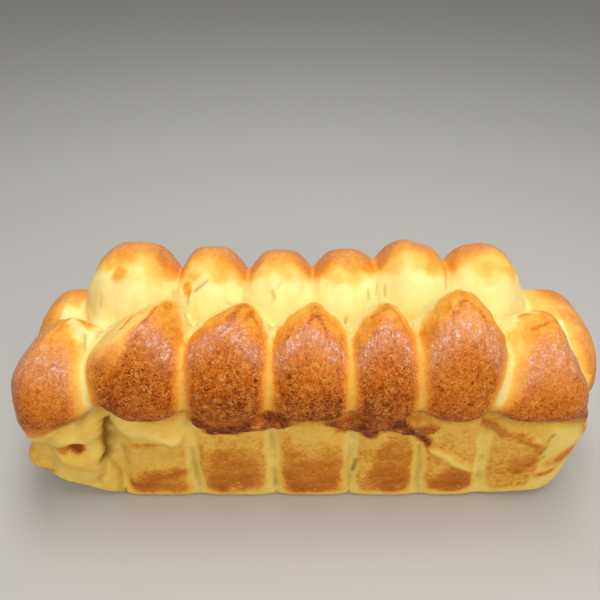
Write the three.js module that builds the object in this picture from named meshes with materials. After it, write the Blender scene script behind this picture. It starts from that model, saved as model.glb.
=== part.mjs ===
// Brioche loaf out of its tin: two rows of dough balls that proved into one another.
// Above the tin's rim they are domed and browned, below it they took the tin's flat sides.
// Millimetres, +Z up, the loaf's length along X, its front row towards -Y.

import * as THREE from 'three';

// The tin that shaped the lower half: its ends and half width at the foot, and its flare.
const TIN_LEFT = -147;
const TIN_RIGHT = 151.5;
const TIN_HALF_WIDTH = 46;
const TIN_HEIGHT = 71;
const SIDE_FLARE = 0.1;
const LEFT_FLARE = 0.02;
const RIGHT_FLARE = 0.08;
const LEFT_CORNER = 20;
const RIGHT_CORNER = 22;

// The loaf rocked a little as it baked: its foot curls up at both ends.
const LEFT_CURL = { from: -97, lift: 23, power: 1.2 };
const RIGHT_CURL = { from: 78, lift: 9, power: 1.6 };

// At both ends the dough hangs down over the rim and runs softly into the end face.
const LEFT_DROOP = { from: -108, to: -142, drop: 14 };
const RIGHT_DROOP = { from: 138, to: 158, drop: 26 };
const RIM_BLEND = 3;
const DROOP_BLEND = 14;
const LEDGE_ROUNDING = 7;

// The two rows of balls: where each row starts, its balls' widths and crest heights,
// the heights of their hearts, how far a crest leans along X, how pointed it is (1 is round),
// the seams between them in the loaf's side, at the foot and at the rim, their depths, and how
// much higher the side reaches between two domes, and how much of its reach past the row's end
// the first and last ball keep at their crests.
const FRONT_ROW = {
  side: -1,
  start: -147,
  widths: [46.5, 44, 41.5, 40, 33.5, 37, 51.5],
  crests: [106, 119, 119, 117, 119, 126, 111],
  hearts: [70, 77, 77, 77, 77, 77, 77],
  leans: [2, 13.5, 8.8, 2.8, 1.9, 0.3, 4],
  points: [1, 0.74, 0.76, 0.84, 0.76, 0.84, 0.84],
  footSeams: [-101, -57.2, -13.1, 27.4, 67.8, 101.5],
  rimSeams: [-96, -57.3, -15.5, 26.7, 59.7, 95],
  seamDepths: [7, 3.2, 3.2, 3.2, 3.2, 3.2],
  rimRises: [8, 4, 4, 4, 4, 4],
  crestSpread: 1.28,
  innerSpread: 1.55,
  endTops: [1, 0.64],
};
const BACK_ROW = {
  side: 1,
  start: -152,
  widths: [35, 46, 40, 38.6, 37.4, 39, 40, 42],
  crests: [92, 122, 118.5, 116, 116.5, 124.5, 120.5, 94],
  hearts: [66, 77, 77, 77, 77, 77, 77, 68],
  leans: [0, 0, 0, 0, 0, 0, 0, 0],
  points: [1, 1, 1, 1, 1, 1, 1, 1],
  footSeams: [-117, -71, -31, 7.6, 45, 84, 124],
  rimSeams: [-117, -71, -31, 7.6, 45, 84, 124],
  seamDepths: [3.2, 3.2, 3.2, 3.2, 3.2, 3.2, 3.2],
  rimRises: [4, 4, 4, 4, 4, 4, 4],
  crestSpread: 1.3,
  innerSpread: 1.45,
  endTops: [1, 1],
};

// Every ball: its row's distance from the middle, its depth in Y, how much wider than its
// share of the row it is at its outer face, and how square it is there (2 is round).
const ROW_Y = 28;
const BALL_HALF_DEPTH = 32;
const OUTER_SPREAD = 1.52;
const OUTER_POWER = 3.2;

// The front row's last crease leans: it moves along X by so much from the ledge to the crests.
const CREASE_SLANT = { x: 96, width: 22, shift: 3, level: 88, height: 18 };

// The back row's end balls sit nearer the middle and are deeper.
const BACK_END_INSET = [12, 20];
const BACK_END_EXTRA_DEPTH = [4, 11];

// How softly the balls run into each other, and the seams they leave in the sides,
// which are shallow at the foot.
const BALL_BLEND = 1.8;
const FOOT_SEAM_DEPTH = 1.2;
const SEAM_WIDTH = 5.5;
const RIM_RISE_WIDTH = 8;

// The heart of the loaf under the valley between the rows.
const CORE = { x: 2, halfLength: 118, halfWidth: 24, top: 87, bottom: 61 };

// A knob of dough at the left foot, lips of dark crust that ran over the rim, and dough that
// closes the gap between the last ball of the front row and the one behind it.
const LUMPS = [
  { centre: [-141, -38, 29], radii: [9, 9, 9] },
  { centre: [-28, -51, 67.5], radii: [24, 5.5, 3.5] },
  { centre: [33, -51, 67.5], radii: [16, 5.5, 4] },
  { centre: [58, -51, 65], radii: [14, 5, 5] },
  { centre: [139, -35, 73], radii: [10, 11, 9] },
];

// The skin is found along rays from a spine inside the loaf. Rings of rays stand along the
// spine, so many to a ball. Turn spans give the angle in degrees each run of rays reaches,
// from straight down to straight up, and how many rays it has. Past the end balls' borders
// the rays fan out: first to rings on the sides, then to rings across the end faces,
// spread over a box of the sizes given here.
const SPINE_Z = 80;
const RINGS_PER_FRONT_BALL = 12;
const RINGS_PER_BACK_BALL = 10;
const END_SIDE_RINGS = 7;
const END_FACE_RINGS = 8;
const END_FACES = [-149, 157];
const END_HALF_WIDTH = 52;
const END_ABOVE_SPINE = 36;
const END_BELOW_SPINE = 80;
const TURN_SPANS = [
  [-60, 3],
  [-14, 7],
  [-2, 4],
  [90, 16],
];
const RAY_LENGTH = 190;
const RAY_STEPS = 76;
const RAY_HALVINGS = 24;

// Finish of the crust, from the photo.
const CRUST_COLOUR = 0xb5702a;
const CRUST_ROUGHNESS = 0.5;

// Smallest of two fields, rounded where they meet.
function smoothMin(a, b, blend) {
  const share = THREE.MathUtils.clamp(0.5 + (0.5 * (b - a)) / blend, 0, 1);
  return b + (a - b) * share - blend * share * (1 - share);
}

// Largest of two fields, rounded where they meet.
function smoothMax(a, b, blend) {
  return -smoothMin(-a, -b, blend);
}

// Eased step from 0 at `low` to 1 at `high`.
function ease(value, low, high) {
  const share = THREE.MathUtils.clamp((value - low) / (high - low), 0, 1);
  return share * share * (3 - 2 * share);
}

// Borders between the balls of a row, from its left end to its right end.
function ballEdges(row) {
  const edges = [row.start];
  for (const width of row.widths) {
    edges.push(edges[edges.length - 1] + width);
  }
  return edges;
}

// The balls of one row. An end ball has its heart off centre, towards its neighbour,
// and its own reach on its free side.
function ballsOf(row) {
  const edges = ballEdges(row);
  const last = row.widths.length - 1;
  return row.widths.map((width, index) => {
    const ball = {
      side: row.side,
      x: edges[index] + width / 2,
      y: row.side * ROW_Y,
      half: width / 2,
      depth: BALL_HALF_DEPTH,
      heart: row.hearts[index],
      rise: row.crests[index] - row.hearts[index],
      lean: row.leans[index],
      point: row.points[index],
      crestSpread: row.crestSpread,
      innerSpread: row.innerSpread,
      leftReach: 0,
      rightReach: 0,
      endTop: 1,
    };
    if (index === 0 || index === last) {
      ball.half = 0.45 * width;
      const freeReach = width - ball.half;
      const atLeft = index === 0;
      ball.x = atLeft ? edges[1] - ball.half : edges[last] + ball.half;
      ball.leftReach = atLeft ? freeReach : 0;
      ball.rightReach = atLeft ? 0 : freeReach;
      ball.endTop = row.endTops[atLeft ? 0 : 1];
      if (row === BACK_ROW) {
        const end = atLeft ? 0 : 1;
        ball.y -= BACK_END_INSET[end];
        ball.depth += BACK_END_EXTRA_DEPTH[end];
      }
    }
    return ball;
  });
}

const FRONT_EDGES = ballEdges(FRONT_ROW);
const BACK_EDGES = ballEdges(BACK_ROW);
const BALLS = [...ballsOf(FRONT_ROW), ...ballsOf(BACK_ROW)];

// How far the front row's last crease has moved along X at a height.
function creaseSlant(x, z) {
  const near = Math.exp(-(((x - CREASE_SLANT.x) / CREASE_SLANT.width) ** 2));
  const rise = THREE.MathUtils.clamp((z - CREASE_SLANT.level) / CREASE_SLANT.height, -1, 1);
  return CREASE_SLANT.shift * near * rise;
}

// One ball: an ellipsoid that widens along X towards its outer face, so that neighbours
// close up there, and narrows at the crest, where the creases between them open.
function ballField(ball, x, y, z) {
  const outward = ((y - ball.y) * ball.side) / ball.depth;
  const upward = (z - ball.heart) / ball.rise;
  const facing = outward / Math.sqrt(outward * outward + upward * upward + 1e-6);
  const outerShare = Math.max(facing, 0) ** 2;
  const innerShare = Math.max(-facing, 0) ** 2;
  const spread = ball.crestSpread
    + (OUTER_SPREAD - ball.crestSpread) * outerShare
    + (ball.innerSpread - ball.crestSpread) * innerShare;
  const lean = ball.lean * ease(-facing, -0.8, 0.3);
  const slant = ball.side < 0 ? creaseSlant(x, z) : 0;
  const along = x - slant - ball.x - lean;
  let reach = (along < 0 ? ball.half + lean : ball.half - lean) * spread;
  const freeShare = THREE.MathUtils.lerp(ball.endTop, 1, outerShare);
  if (along < 0 && ball.leftReach > 0) {
    reach = ball.leftReach * freeShare;
  }
  if (along > 0 && ball.rightReach > 0) {
    reach = ball.rightReach * freeShare;
  }
  const power = THREE.MathUtils.lerp(2 * ball.point, OUTER_POWER, ease(facing, 0.1, 0.8));
  const alongPart = Math.abs(along / reach) ** power;
  const distance = Math.sqrt(alongPart + outward * outward + upward * upward);
  return (distance - 1) * Math.min(ball.half, ball.depth, ball.rise);
}

// How deep the nearest seam of a row is at x and z.
function seamDepth(row, x, z) {
  const depths = row.footSeams.map((foot, index) => {
    const seam = THREE.MathUtils.lerp(foot, row.rimSeams[index], z / TIN_HEIGHT);
    const depth = THREE.MathUtils.lerp(FOOT_SEAM_DEPTH, row.seamDepths[index], ease(z, 2, 14));
    return depth * Math.exp(-(((x - seam) / SEAM_WIDTH) ** 2));
  });
  return Math.max(...depths);
}

// Height of the ledge that the domes hang over: higher between two domes, lower at the ends.
function rimHeight(x, y) {
  const row = y < 0 ? FRONT_ROW : BACK_ROW;
  const rises = row.rimSeams.map(
    (seam, index) => row.rimRises[index] * Math.exp(-(((x - seam) / RIM_RISE_WIDTH) ** 2)),
  );
  const drop = LEFT_DROOP.drop * leftDroop(x) + RIGHT_DROOP.drop * rightDroop(x);
  return TIN_HEIGHT + Math.max(...rises) * ease(Math.abs(y), 20, 40) - drop;
}

// The tin's inner wall, flared, round in its corners, creased where two balls meet.
function wallField(x, y, z) {
  const middle = (TIN_LEFT + TIN_RIGHT) / 2;
  const atLeft = x < middle;
  const corner = atLeft ? LEFT_CORNER : RIGHT_CORNER;
  const flare = atLeft ? LEFT_FLARE : RIGHT_FLARE;
  const halfLength = (TIN_RIGHT - TIN_LEFT) / 2 + flare * z;
  const halfWidth = TIN_HALF_WIDTH + SIDE_FLARE * z;
  const pastEnd = Math.abs(x - middle) - halfLength + corner;
  const pastSide = Math.abs(y) - halfWidth + corner;
  const wall = Math.hypot(Math.max(pastEnd, 0), Math.max(pastSide, 0))
    + Math.min(Math.max(pastEnd, pastSide), 0)
    - corner;
  const seam = seamDepth(y < 0 ? FRONT_ROW : BACK_ROW, x, z);
  return wall + seam * ease(Math.abs(y), 20, 40);
}

// Height of the loaf's foot at x: flat in the middle, curled up at the ends.
function footHeight(x) {
  const leftShare = (LEFT_CURL.from - x) / (LEFT_CURL.from - TIN_LEFT);
  const rightShare = (x - RIGHT_CURL.from) / (TIN_RIGHT - RIGHT_CURL.from);
  const left = LEFT_CURL.lift * THREE.MathUtils.clamp(leftShare, 0, 1.2) ** LEFT_CURL.power;
  const right = RIGHT_CURL.lift * THREE.MathUtils.clamp(rightShare, 0, 1.2) ** RIGHT_CURL.power;
  return left + right;
}

// How far the dough hangs down at x, from 0 in the middle to 1 at either end.
function leftDroop(x) {
  return ease(-x, -LEFT_DROOP.from, -LEFT_DROOP.to);
}
function rightDroop(x) {
  return ease(x, RIGHT_DROOP.from, RIGHT_DROOP.to);
}

// A small ellipsoid of dough.
function lumpField(lump, x, y, z) {
  const [cx, cy, cz] = lump.centre;
  const [rx, ry, rz] = lump.radii;
  return (Math.hypot((x - cx) / rx, (y - cy) / ry, (z - cz) / rz) - 1) * Math.min(rx, ry, rz);
}

// The whole loaf: negative inside, positive outside.
function loafField(x, y, z) {
  const left = leftDroop(x);
  const right = rightDroop(x);
  const rim = rimHeight(x, y);
  const rimBlend = THREE.MathUtils.lerp(RIM_BLEND, DROOP_BLEND, left + right);

  let domes = ballField(BALLS[0], x, y, z);
  for (const ball of BALLS.slice(1)) {
    domes = smoothMin(domes, ballField(ball, x, y, z), BALL_BLEND);
  }
  domes = smoothMax(domes, rim - z, LEDGE_ROUNDING);

  let block = smoothMax(wallField(x, y, z), z - rim - 3, 4);
  block = smoothMax(block, footHeight(x) - z, 3);

  let core = smoothMax(Math.abs(x - CORE.x) - CORE.halfLength, Math.abs(y) - CORE.halfWidth, 10);
  core = smoothMax(core, z - CORE.top, 8);
  core = smoothMax(core, CORE.bottom - z, 4);

  let loaf = smoothMin(smoothMin(domes, core, 6), block, rimBlend);
  for (const lump of LUMPS) {
    loaf = smoothMin(loaf, lumpField(lump, x, y, z), 3);
  }
  return loaf;
}

// Where a ray from the spine at x, in the direction of an aim, first leaves the loaf.
function skinPoint(x, aim) {
  const length = Math.hypot(...aim);
  const direction = aim.map((value) => value / length);
  const fieldAt = (distance) => loafField(
    x + direction[0] * distance,
    direction[1] * distance,
    SPINE_Z + direction[2] * distance,
  );
  const step = RAY_LENGTH / RAY_STEPS;
  let outside = step;
  while (outside < RAY_LENGTH && fieldAt(outside) < 0) {
    outside += step;
  }
  let inside = outside - step;
  for (let halving = 0; halving < RAY_HALVINGS; halving += 1) {
    const middle = (inside + outside) / 2;
    if (fieldAt(middle) < 0) {
      inside = middle;
    } else {
      outside = middle;
    }
  }
  const height = SPINE_Z + direction[2] * inside;
  return [
    x + direction[0] * inside,
    direction[1] * inside,
    height < 0.02 ? 0 : height,
  ];
}

// Angles of the rays in a ring: up the back, over the top, down the front.
function turnAngles() {
  const rising = [];
  let from = -90;
  for (const [to, count] of TURN_SPANS) {
    for (let index = 0; index < count; index += 1) {
      rising.push(from + ((to - from) * index) / count);
    }
    from = to;
  }
  const falling = rising.slice(1).reverse().map((angle) => 180 - angle);
  return [...rising, 90, ...falling].map(THREE.MathUtils.degToRad);
}

// Spine positions of the rings between the end balls of a row, so many to each ball.
function ringPositions(edges, ringsPerBall) {
  const positions = [];
  for (let ball = 1; ball < edges.length - 2; ball += 1) {
    for (let ring = 0; ring < ringsPerBall; ring += 1) {
      positions.push(THREE.MathUtils.lerp(edges[ball], edges[ball + 1], ring / ringsPerBall));
    }
  }
  positions.push(edges[edges.length - 2]);
  return positions;
}

// The closed skin: rings of points along the spine with a single point at either end.
function loafGeometry() {
  const angles = turnAngles();
  const frontPositions = ringPositions(FRONT_EDGES, RINGS_PER_FRONT_BALL);
  const backPositions = ringPositions(BACK_EDGES, RINGS_PER_BACK_BALL);
  const lastRing = frontPositions.length - 1;
  const points = [];

  // A ring of rays from a spine index. Each ray is aimed at a point beside the spine.
  const addRing = (index, aimAt) => {
    for (const angle of angles) {
      const backShare = ease(Math.cos(angle), -0.45, 0.45);
      const x = THREE.MathUtils.lerp(frontPositions[index], backPositions[index], backShare);
      points.push(skinPoint(x, aimAt(x, angle)));
    }
  };
  const straightOut = (x, angle) => [0, Math.cos(angle), Math.sin(angle)];

  // The rays of an end are aimed at a round-cornered box:
  // share 0 to 1 runs out along its sides, 1 to 2 in across its end face.
  const towardsEnd = (face, share) => (x, angle) => {
    const halfHeight = Math.sin(angle) > 0 ? END_ABOVE_SPINE : END_BELOW_SPINE;
    const acrossShare = Math.cos(angle) / END_HALF_WIDTH;
    const uprightShare = Math.sin(angle) / halfHeight;
    const boxReach = (acrossShare ** 4 + uprightShare ** 4) ** -0.25;
    const sideways = boxReach * Math.min(2 - share, 1);
    return [
      (face - x) * Math.min(share, 1),
      Math.cos(angle) * sideways,
      Math.sin(angle) * sideways,
    ];
  };
  const endShares = [];
  for (let ring = 1; ring <= END_SIDE_RINGS; ring += 1) {
    endShares.push(ring / END_SIDE_RINGS);
  }
  for (let ring = 1; ring <= END_FACE_RINGS; ring += 1) {
    endShares.push(1 + ring / (END_FACE_RINGS + 1));
  }

  points.push(skinPoint(frontPositions[0], [-1, 0, 0]));
  for (const share of endShares.toReversed()) {
    addRing(0, towardsEnd(END_FACES[0], share));
  }
  for (let index = 0; index <= lastRing; index += 1) {
    addRing(index, straightOut);
  }
  for (const share of endShares) {
    addRing(lastRing, towardsEnd(END_FACES[1], share));
  }
  points.push(skinPoint(frontPositions[lastRing], [1, 0, 0]));

  const around = angles.length;
  const ringCount = (points.length - 2) / around;
  const lastPoint = points.length - 1;
  const corner = (ring, turn) => 1 + ring * around + (turn % around);
  const faces = [];
  for (let turn = 0; turn < around; turn += 1) {
    faces.push(0, corner(0, turn + 1), corner(0, turn));
    for (let ring = 0; ring < ringCount - 1; ring += 1) {
      const here = corner(ring, turn);
      const above = corner(ring, turn + 1);
      const next = corner(ring + 1, turn);
      const nextAbove = corner(ring + 1, turn + 1);
      faces.push(here, above, nextAbove);
      faces.push(here, nextAbove, next);
    }
    faces.push(lastPoint, corner(ringCount - 1, turn), corner(ringCount - 1, turn + 1));
  }

  const geometry = new THREE.BufferGeometry();
  geometry.setAttribute('position', new THREE.Float32BufferAttribute(points.flat(), 3));
  geometry.setIndex(faces);

  // The origin is under the middle of the loaf's own box.
  geometry.computeBoundingBox();
  const middle = geometry.boundingBox.getCenter(new THREE.Vector3());
  geometry.translate(-middle.x, -middle.y, 0);
  geometry.computeVertexNormals();
  return geometry;
}

const crust = new THREE.MeshStandardMaterial({
  color: CRUST_COLOUR,
  roughness: CRUST_ROUGHNESS,
  metalness: 0,
});
const loaf = new THREE.Mesh(loafGeometry(), crust);
loaf.name = 'loaf';

const part = new THREE.Group();
part.name = 'brioche_loaf';
part.add(loaf);

export default part;
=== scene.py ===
# %% [markdown]
# # A brioche loaf out of its tin
# The loaf is one baked piece. Two rows of dough balls rose into one another in a long tin: above
# the rim they are domes with a glossy brown crust, below it they took the tin's flat sides. The
# lesson starts from the plain solid, gives it a fine and even skin, works out where the oven browned
# it, roughens the crust, and sets it on a pale floor under a soft light.

import bmesh
import bpy
import numpy as np
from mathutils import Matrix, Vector


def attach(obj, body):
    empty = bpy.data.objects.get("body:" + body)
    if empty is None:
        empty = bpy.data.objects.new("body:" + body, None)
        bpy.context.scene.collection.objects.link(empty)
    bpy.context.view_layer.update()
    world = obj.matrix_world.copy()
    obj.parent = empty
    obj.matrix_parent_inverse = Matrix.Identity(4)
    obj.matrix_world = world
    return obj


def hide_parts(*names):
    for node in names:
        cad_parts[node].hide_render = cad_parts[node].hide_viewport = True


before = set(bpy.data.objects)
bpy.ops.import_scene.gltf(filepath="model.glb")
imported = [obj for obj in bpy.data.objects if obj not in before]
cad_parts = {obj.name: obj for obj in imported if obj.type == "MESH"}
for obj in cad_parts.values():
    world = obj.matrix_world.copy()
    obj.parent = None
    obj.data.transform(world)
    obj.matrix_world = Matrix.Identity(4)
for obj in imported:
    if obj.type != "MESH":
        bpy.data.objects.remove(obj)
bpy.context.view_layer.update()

# %% [markdown]
# ## The rows of balls
# A pull-apart loaf is shaped by hand, so no two balls are alike. Sculpting each one would give a
# shape that nobody could adjust later, so each row is a short table instead: the balls' widths
# along X, the heights of their crests and hearts, how far a crest leans, how pointed it is, and
# where the seams between the balls run down the side. All sizes of the form are in millimetres.

# %% The balls' sizes
FRONT_ROW = dict(
    side=-1,
    start=-147.0,
    widths=[46.5, 44, 41.5, 40, 33.5, 37, 51.5],
    crests=[106, 119, 119, 117, 119, 126, 111],
    hearts=[70, 77, 77, 77, 77, 77, 77],
    leans=[2, 13.5, 8.8, 2.8, 1.9, 0.3, 4],
    points=[1, 0.74, 0.76, 0.84, 0.76, 0.84, 0.84],
    foot_seams=[-101, -57.2, -13.1, 27.4, 67.8, 101.5],
    rim_seams=[-96, -57.3, -15.5, 26.7, 59.7, 95],
    seam_depths=[7, 3.2, 3.2, 3.2, 3.2, 3.2],
    rim_rises=[8, 4, 4, 4, 4, 4],
    crest_spread=1.28,
    inner_spread=1.55,
    end_tops=(1.0, 0.64),
)
BACK_ROW = dict(
    side=1,
    start=-152.0,
    widths=[35, 46, 40, 38.6, 37.4, 39, 40, 42],
    crests=[92, 122, 118.5, 116, 116.5, 124.5, 120.5, 94],
    hearts=[66, 77, 77, 77, 77, 77, 77, 68],
    leans=[0] * 8,
    points=[1] * 8,
    foot_seams=[-117, -71, -31, 7.6, 45, 84, 124],
    rim_seams=[-117, -71, -31, 7.6, 45, 84, 124],
    seam_depths=[3.2] * 7,
    rim_rises=[4] * 7,
    crest_spread=1.3,
    inner_spread=1.45,
    end_tops=(1.0, 1.0),
)
FRONT_COUNT, BACK_COUNT = len(FRONT_ROW["widths"]), len(BACK_ROW["widths"])
print("balls in the front and back row:", FRONT_COUNT, BACK_COUNT)

# %% The balls from their sizes
ROW_Y = 28.0
BALL_HALF_DEPTH = 32.0
END_HEART_SHARE = 0.45
BACK_END_INSET = (12.0, 20.0)
BACK_END_EXTRA_DEPTH = (4.0, 11.0)


def balls_of(row):
    """The balls of a row; an end ball has its heart off centre and its own reach outwards."""
    edges = row["start"] + np.concatenate([[0], np.cumsum(row["widths"])])
    last = len(row["widths"]) - 1
    balls = []
    for index, width in enumerate(row["widths"]):
        ball = dict(
            side=row["side"],
            x=edges[index] + width / 2,
            y=row["side"] * ROW_Y,
            half=width / 2,
            depth=BALL_HALF_DEPTH,
            heart=row["hearts"][index],
            rise=row["crests"][index] - row["hearts"][index],
            lean=row["leans"][index],
            point=row["points"][index],
            crest_spread=row["crest_spread"],
            inner_spread=row["inner_spread"],
            left_reach=0.0,
            right_reach=0.0,
            end_top=1.0,
        )
        if index in (0, last):
            end = 0 if index == 0 else 1
            ball["half"] = END_HEART_SHARE * width
            ball["x"] = (edges[1] - ball["half"], edges[last] + ball["half"])[end]
            ball[("left_reach", "right_reach")[end]] = width - ball["half"]
            ball["end_top"] = row["end_tops"][end]
            if row is BACK_ROW:
                ball["y"] -= BACK_END_INSET[end]
                ball["depth"] += BACK_END_EXTRA_DEPTH[end]
        balls.append(ball)
    return balls


BALLS = balls_of(FRONT_ROW) + balls_of(BACK_ROW)
print("highest crest, mm:", max(ball["heart"] + ball["rise"] for ball in BALLS))

# %% [markdown]
# ## Soft steps and blends
# Dough has no hard edges, so nothing in this lesson switches suddenly. Four small helpers do nearly
# all the shaping: an eased step, a soft bump, and the smaller or larger of two fields, rounded where
# they meet. Math nodes could do the same, but numpy works on all points of the skin at once.

# %% Steps, bumps and blends
def ease(value, low, high):
    """Eased step from 0 at low to 1 at high."""
    share = np.clip((value - low) / (high - low), 0, 1)
    return share * share * (3 - 2 * share)


def near(value, middle, half):
    """1 at the middle, falling to 0 about two halves away."""
    return np.exp(-(((value - middle) / half) ** 2))


def smooth_min(a, b, blend):
    """Smallest of two fields, rounded where they meet."""
    share = np.clip(0.5 + 0.5 * (b - a) / blend, 0, 1)
    return b + (a - b) * share - blend * share * (1 - share)


def smooth_max(a, b, blend):
    """Largest of two fields, rounded where they meet."""
    return -smooth_min(-a, -b, blend)


print("an eased step halfway:", ease(0.5, 0, 1), "a bump one half off:", near(1, 0, 1).round(2))

# %% [markdown]
# ## One ball as a rule
# Dough balls that rise side by side meet in a crease that is shallow low down and opens towards the
# crest. A plain ellipsoid would leave deep slots, so each ball is an ellipsoid that widens along X
# where it faces outwards. The rule gives a number for any point: negative inside, nought on the
# skin, positive outside. Such a field can be blended with its neighbours' softly.

# %% The ball's field
OUTER_SPREAD, OUTER_POWER = 1.52, 3.2
CREASE_SLANT = dict(x=96.0, width=22.0, shift=3.0, level=88.0, height=18.0)
LEAN_FACING = (-0.8, 0.3)
SQUARE_FACING = (0.1, 0.8)


def crease_slant(x, z):
    """How far the front row's last crease has moved along X at a height."""
    rise = np.clip((z - CREASE_SLANT["level"]) / CREASE_SLANT["height"], -1, 1)
    return CREASE_SLANT["shift"] * near(x, CREASE_SLANT["x"], CREASE_SLANT["width"]) * rise


def ball_chart(ball, x, y, z):
    """Where points lie on a ball: outward and upward shares, facing, way along X and reach there."""
    if ball["side"] < 0:
        x = x - crease_slant(x, z)
    outward = (y - ball["y"]) * ball["side"] / ball["depth"]
    upward = (z - ball["heart"]) / ball["rise"]
    facing = outward / np.sqrt(outward**2 + upward**2 + 1e-6)
    lean = ball["lean"] * ease(-facing, *LEAN_FACING)
    along = x - ball["x"] - lean
    reach = np.where(along < 0, ball["half"] + lean, ball["half"] - lean)
    return outward, upward, facing, along, reach


def ball_field(ball, x, y, z):
    """Negative inside the ball, positive outside."""
    outward, upward, facing, along, reach = ball_chart(ball, x, y, z)
    spread = (
        ball["crest_spread"]
        + (OUTER_SPREAD - ball["crest_spread"]) * np.maximum(facing, 0) ** 2
        + (ball["inner_spread"] - ball["crest_spread"]) * np.maximum(-facing, 0) ** 2
    )
    reach = reach * spread
    free_spread = ball["end_top"] + (1 - ball["end_top"]) * np.maximum(facing, 0) ** 2
    if ball["left_reach"]:
        reach = np.where(along < 0, ball["left_reach"] * free_spread, reach)
    if ball["right_reach"]:
        reach = np.where(along > 0, ball["right_reach"] * free_spread, reach)
    crest_power = 2 * ball["point"]
    power = crest_power + (OUTER_POWER - crest_power) * ease(facing, *SQUARE_FACING)
    along_part = np.abs(along / reach) ** power
    distance = np.sqrt(along_part + outward**2 + upward**2)
    return (distance - 1) * min(ball["half"], ball["depth"], ball["rise"])


first = BALLS[0]
print("first ball's field at its heart, mm:", ball_field(first, first["x"], first["y"], first["heart"]))

# %% [markdown]
# ## The half that sat in the tin
# The tin gave the lower half flat, flared sides with round corners. Each ball left a seam where it
# met its neighbour, and as the loaf baked its foot curled up at both ends. Cutting this with
# modifiers would leave hard edges, so it is a field too.

# %% Seams between the balls
TIN_HEIGHT = 71.0
FOOT_SEAM_DEPTH, SEAM_WIDTH = 1.2, 5.5
SEAM_DEEPENS = (2, 14)
LONG_SIDES = (20, 40)


def row_value(y, front, back):
    """The front row's or the back row's value, fading out towards the loaf's middle."""
    return np.where(y < 0, front, back) * ease(np.abs(y), *LONG_SIDES)


def seam_shares(row, x, z, width):
    """For each of a row's seams, 1 on the seam, falling to 0 a width or two away from it."""
    seams = zip(row["foot_seams"], row["rim_seams"])
    return [near(x, foot + (rim - foot) * z / TIN_HEIGHT, width) for foot, rim in seams]


def seam_depth(row, x, z):
    """How deep a row's nearest seam is; all are shallow at the foot."""
    shares = seam_shares(row, x, z, SEAM_WIDTH)
    deeper = ease(z, *SEAM_DEEPENS)
    depths = [FOOT_SEAM_DEPTH + (depth - FOOT_SEAM_DEPTH) * deeper for depth in row["seam_depths"]]
    return np.max([share * depth for share, depth in zip(shares, depths)], axis=0)


first_seam = FRONT_ROW["rim_seams"][0]
print("depth of the first seam at the rim, mm:", seam_depth(FRONT_ROW, first_seam, TIN_HEIGHT))

# %% The ledge at the tin's rim
LEFT_DROOP = dict(span=(-108.0, -142.0), drop=14.0)
RIGHT_DROOP = dict(span=(138.0, 158.0), drop=26.0)
RIM_RISE_WIDTH = 8.0


def droops(x):
    """How far the dough hangs down over the rim at the left and right end, from 0 to 1."""
    left = ease(-x, -LEFT_DROOP["span"][0], -LEFT_DROOP["span"][1])
    return left, ease(x, *RIGHT_DROOP["span"])


def rim_rise(row, x):
    """How much higher a row's ledge is at x, between two domes."""
    seams = zip(row["rim_seams"], row["rim_rises"])
    return np.max([rise * near(x, seam, RIM_RISE_WIDTH) for seam, rise in seams], axis=0)


def rim_height(x, y):
    """Height of the ledge that the domes hang over."""
    left, right = droops(x)
    rise = row_value(y, rim_rise(FRONT_ROW, x), rim_rise(BACK_ROW, x))
    return TIN_HEIGHT + rise - LEFT_DROOP["drop"] * left - RIGHT_DROOP["drop"] * right


print("height of the ledge in the middle, mm:", rim_height(0.0, 0.0))

# %% The tin's wall and the curled foot
TIN_LEFT, TIN_RIGHT, TIN_HALF_WIDTH = -147.0, 151.5, 46.0
SIDE_FLARE, LEFT_FLARE, RIGHT_FLARE = 0.1, 0.02, 0.08
LEFT_CORNER, RIGHT_CORNER = 20.0, 22.0
LEFT_CURL = dict(start=-97.0, lift=23.0, power=1.2)
RIGHT_CURL = dict(start=78.0, lift=9.0, power=1.6)
LONGEST_CURL = 1.2


def wall_field(x, y, z):
    """The tin's inner wall, creased at the seams."""
    middle = (TIN_LEFT + TIN_RIGHT) / 2
    at_left = x < middle
    corner = np.where(at_left, LEFT_CORNER, RIGHT_CORNER)
    flare = np.where(at_left, LEFT_FLARE, RIGHT_FLARE)
    past_end = np.abs(x - middle) - (TIN_RIGHT - TIN_LEFT) / 2 - flare * z + corner
    past_side = np.abs(y) - TIN_HALF_WIDTH - SIDE_FLARE * z + corner
    wall = (
        np.hypot(np.maximum(past_end, 0), np.maximum(past_side, 0))
        + np.minimum(np.maximum(past_end, past_side), 0)
        - corner
    )
    return wall + row_value(y, seam_depth(FRONT_ROW, x, z), seam_depth(BACK_ROW, x, z))


def foot_height(x):
    """Height of the foot: flat in the middle, curled up at the ends."""
    left = np.clip((LEFT_CURL["start"] - x) / (LEFT_CURL["start"] - TIN_LEFT), 0, LONGEST_CURL)
    right = np.clip((x - RIGHT_CURL["start"]) / (TIN_RIGHT - RIGHT_CURL["start"]), 0, LONGEST_CURL)
    return LEFT_CURL["lift"] * left ** LEFT_CURL["power"] + RIGHT_CURL["lift"] * right ** RIGHT_CURL["power"]


print("height of the foot at the tin's ends, mm:", foot_height(np.array([TIN_LEFT, TIN_RIGHT])))

# %% [markdown]
# ## The whole loaf as one field
# Balls, tin block, a core that fills the valley and a few lumps become one piece of dough. Booleans
# would leave sharp joins to be rounded one by one; blending the fields rounds every join by its own
# amount, tight where ball meets ball, and wide at the ends where the dough hung down over the rim.

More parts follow.
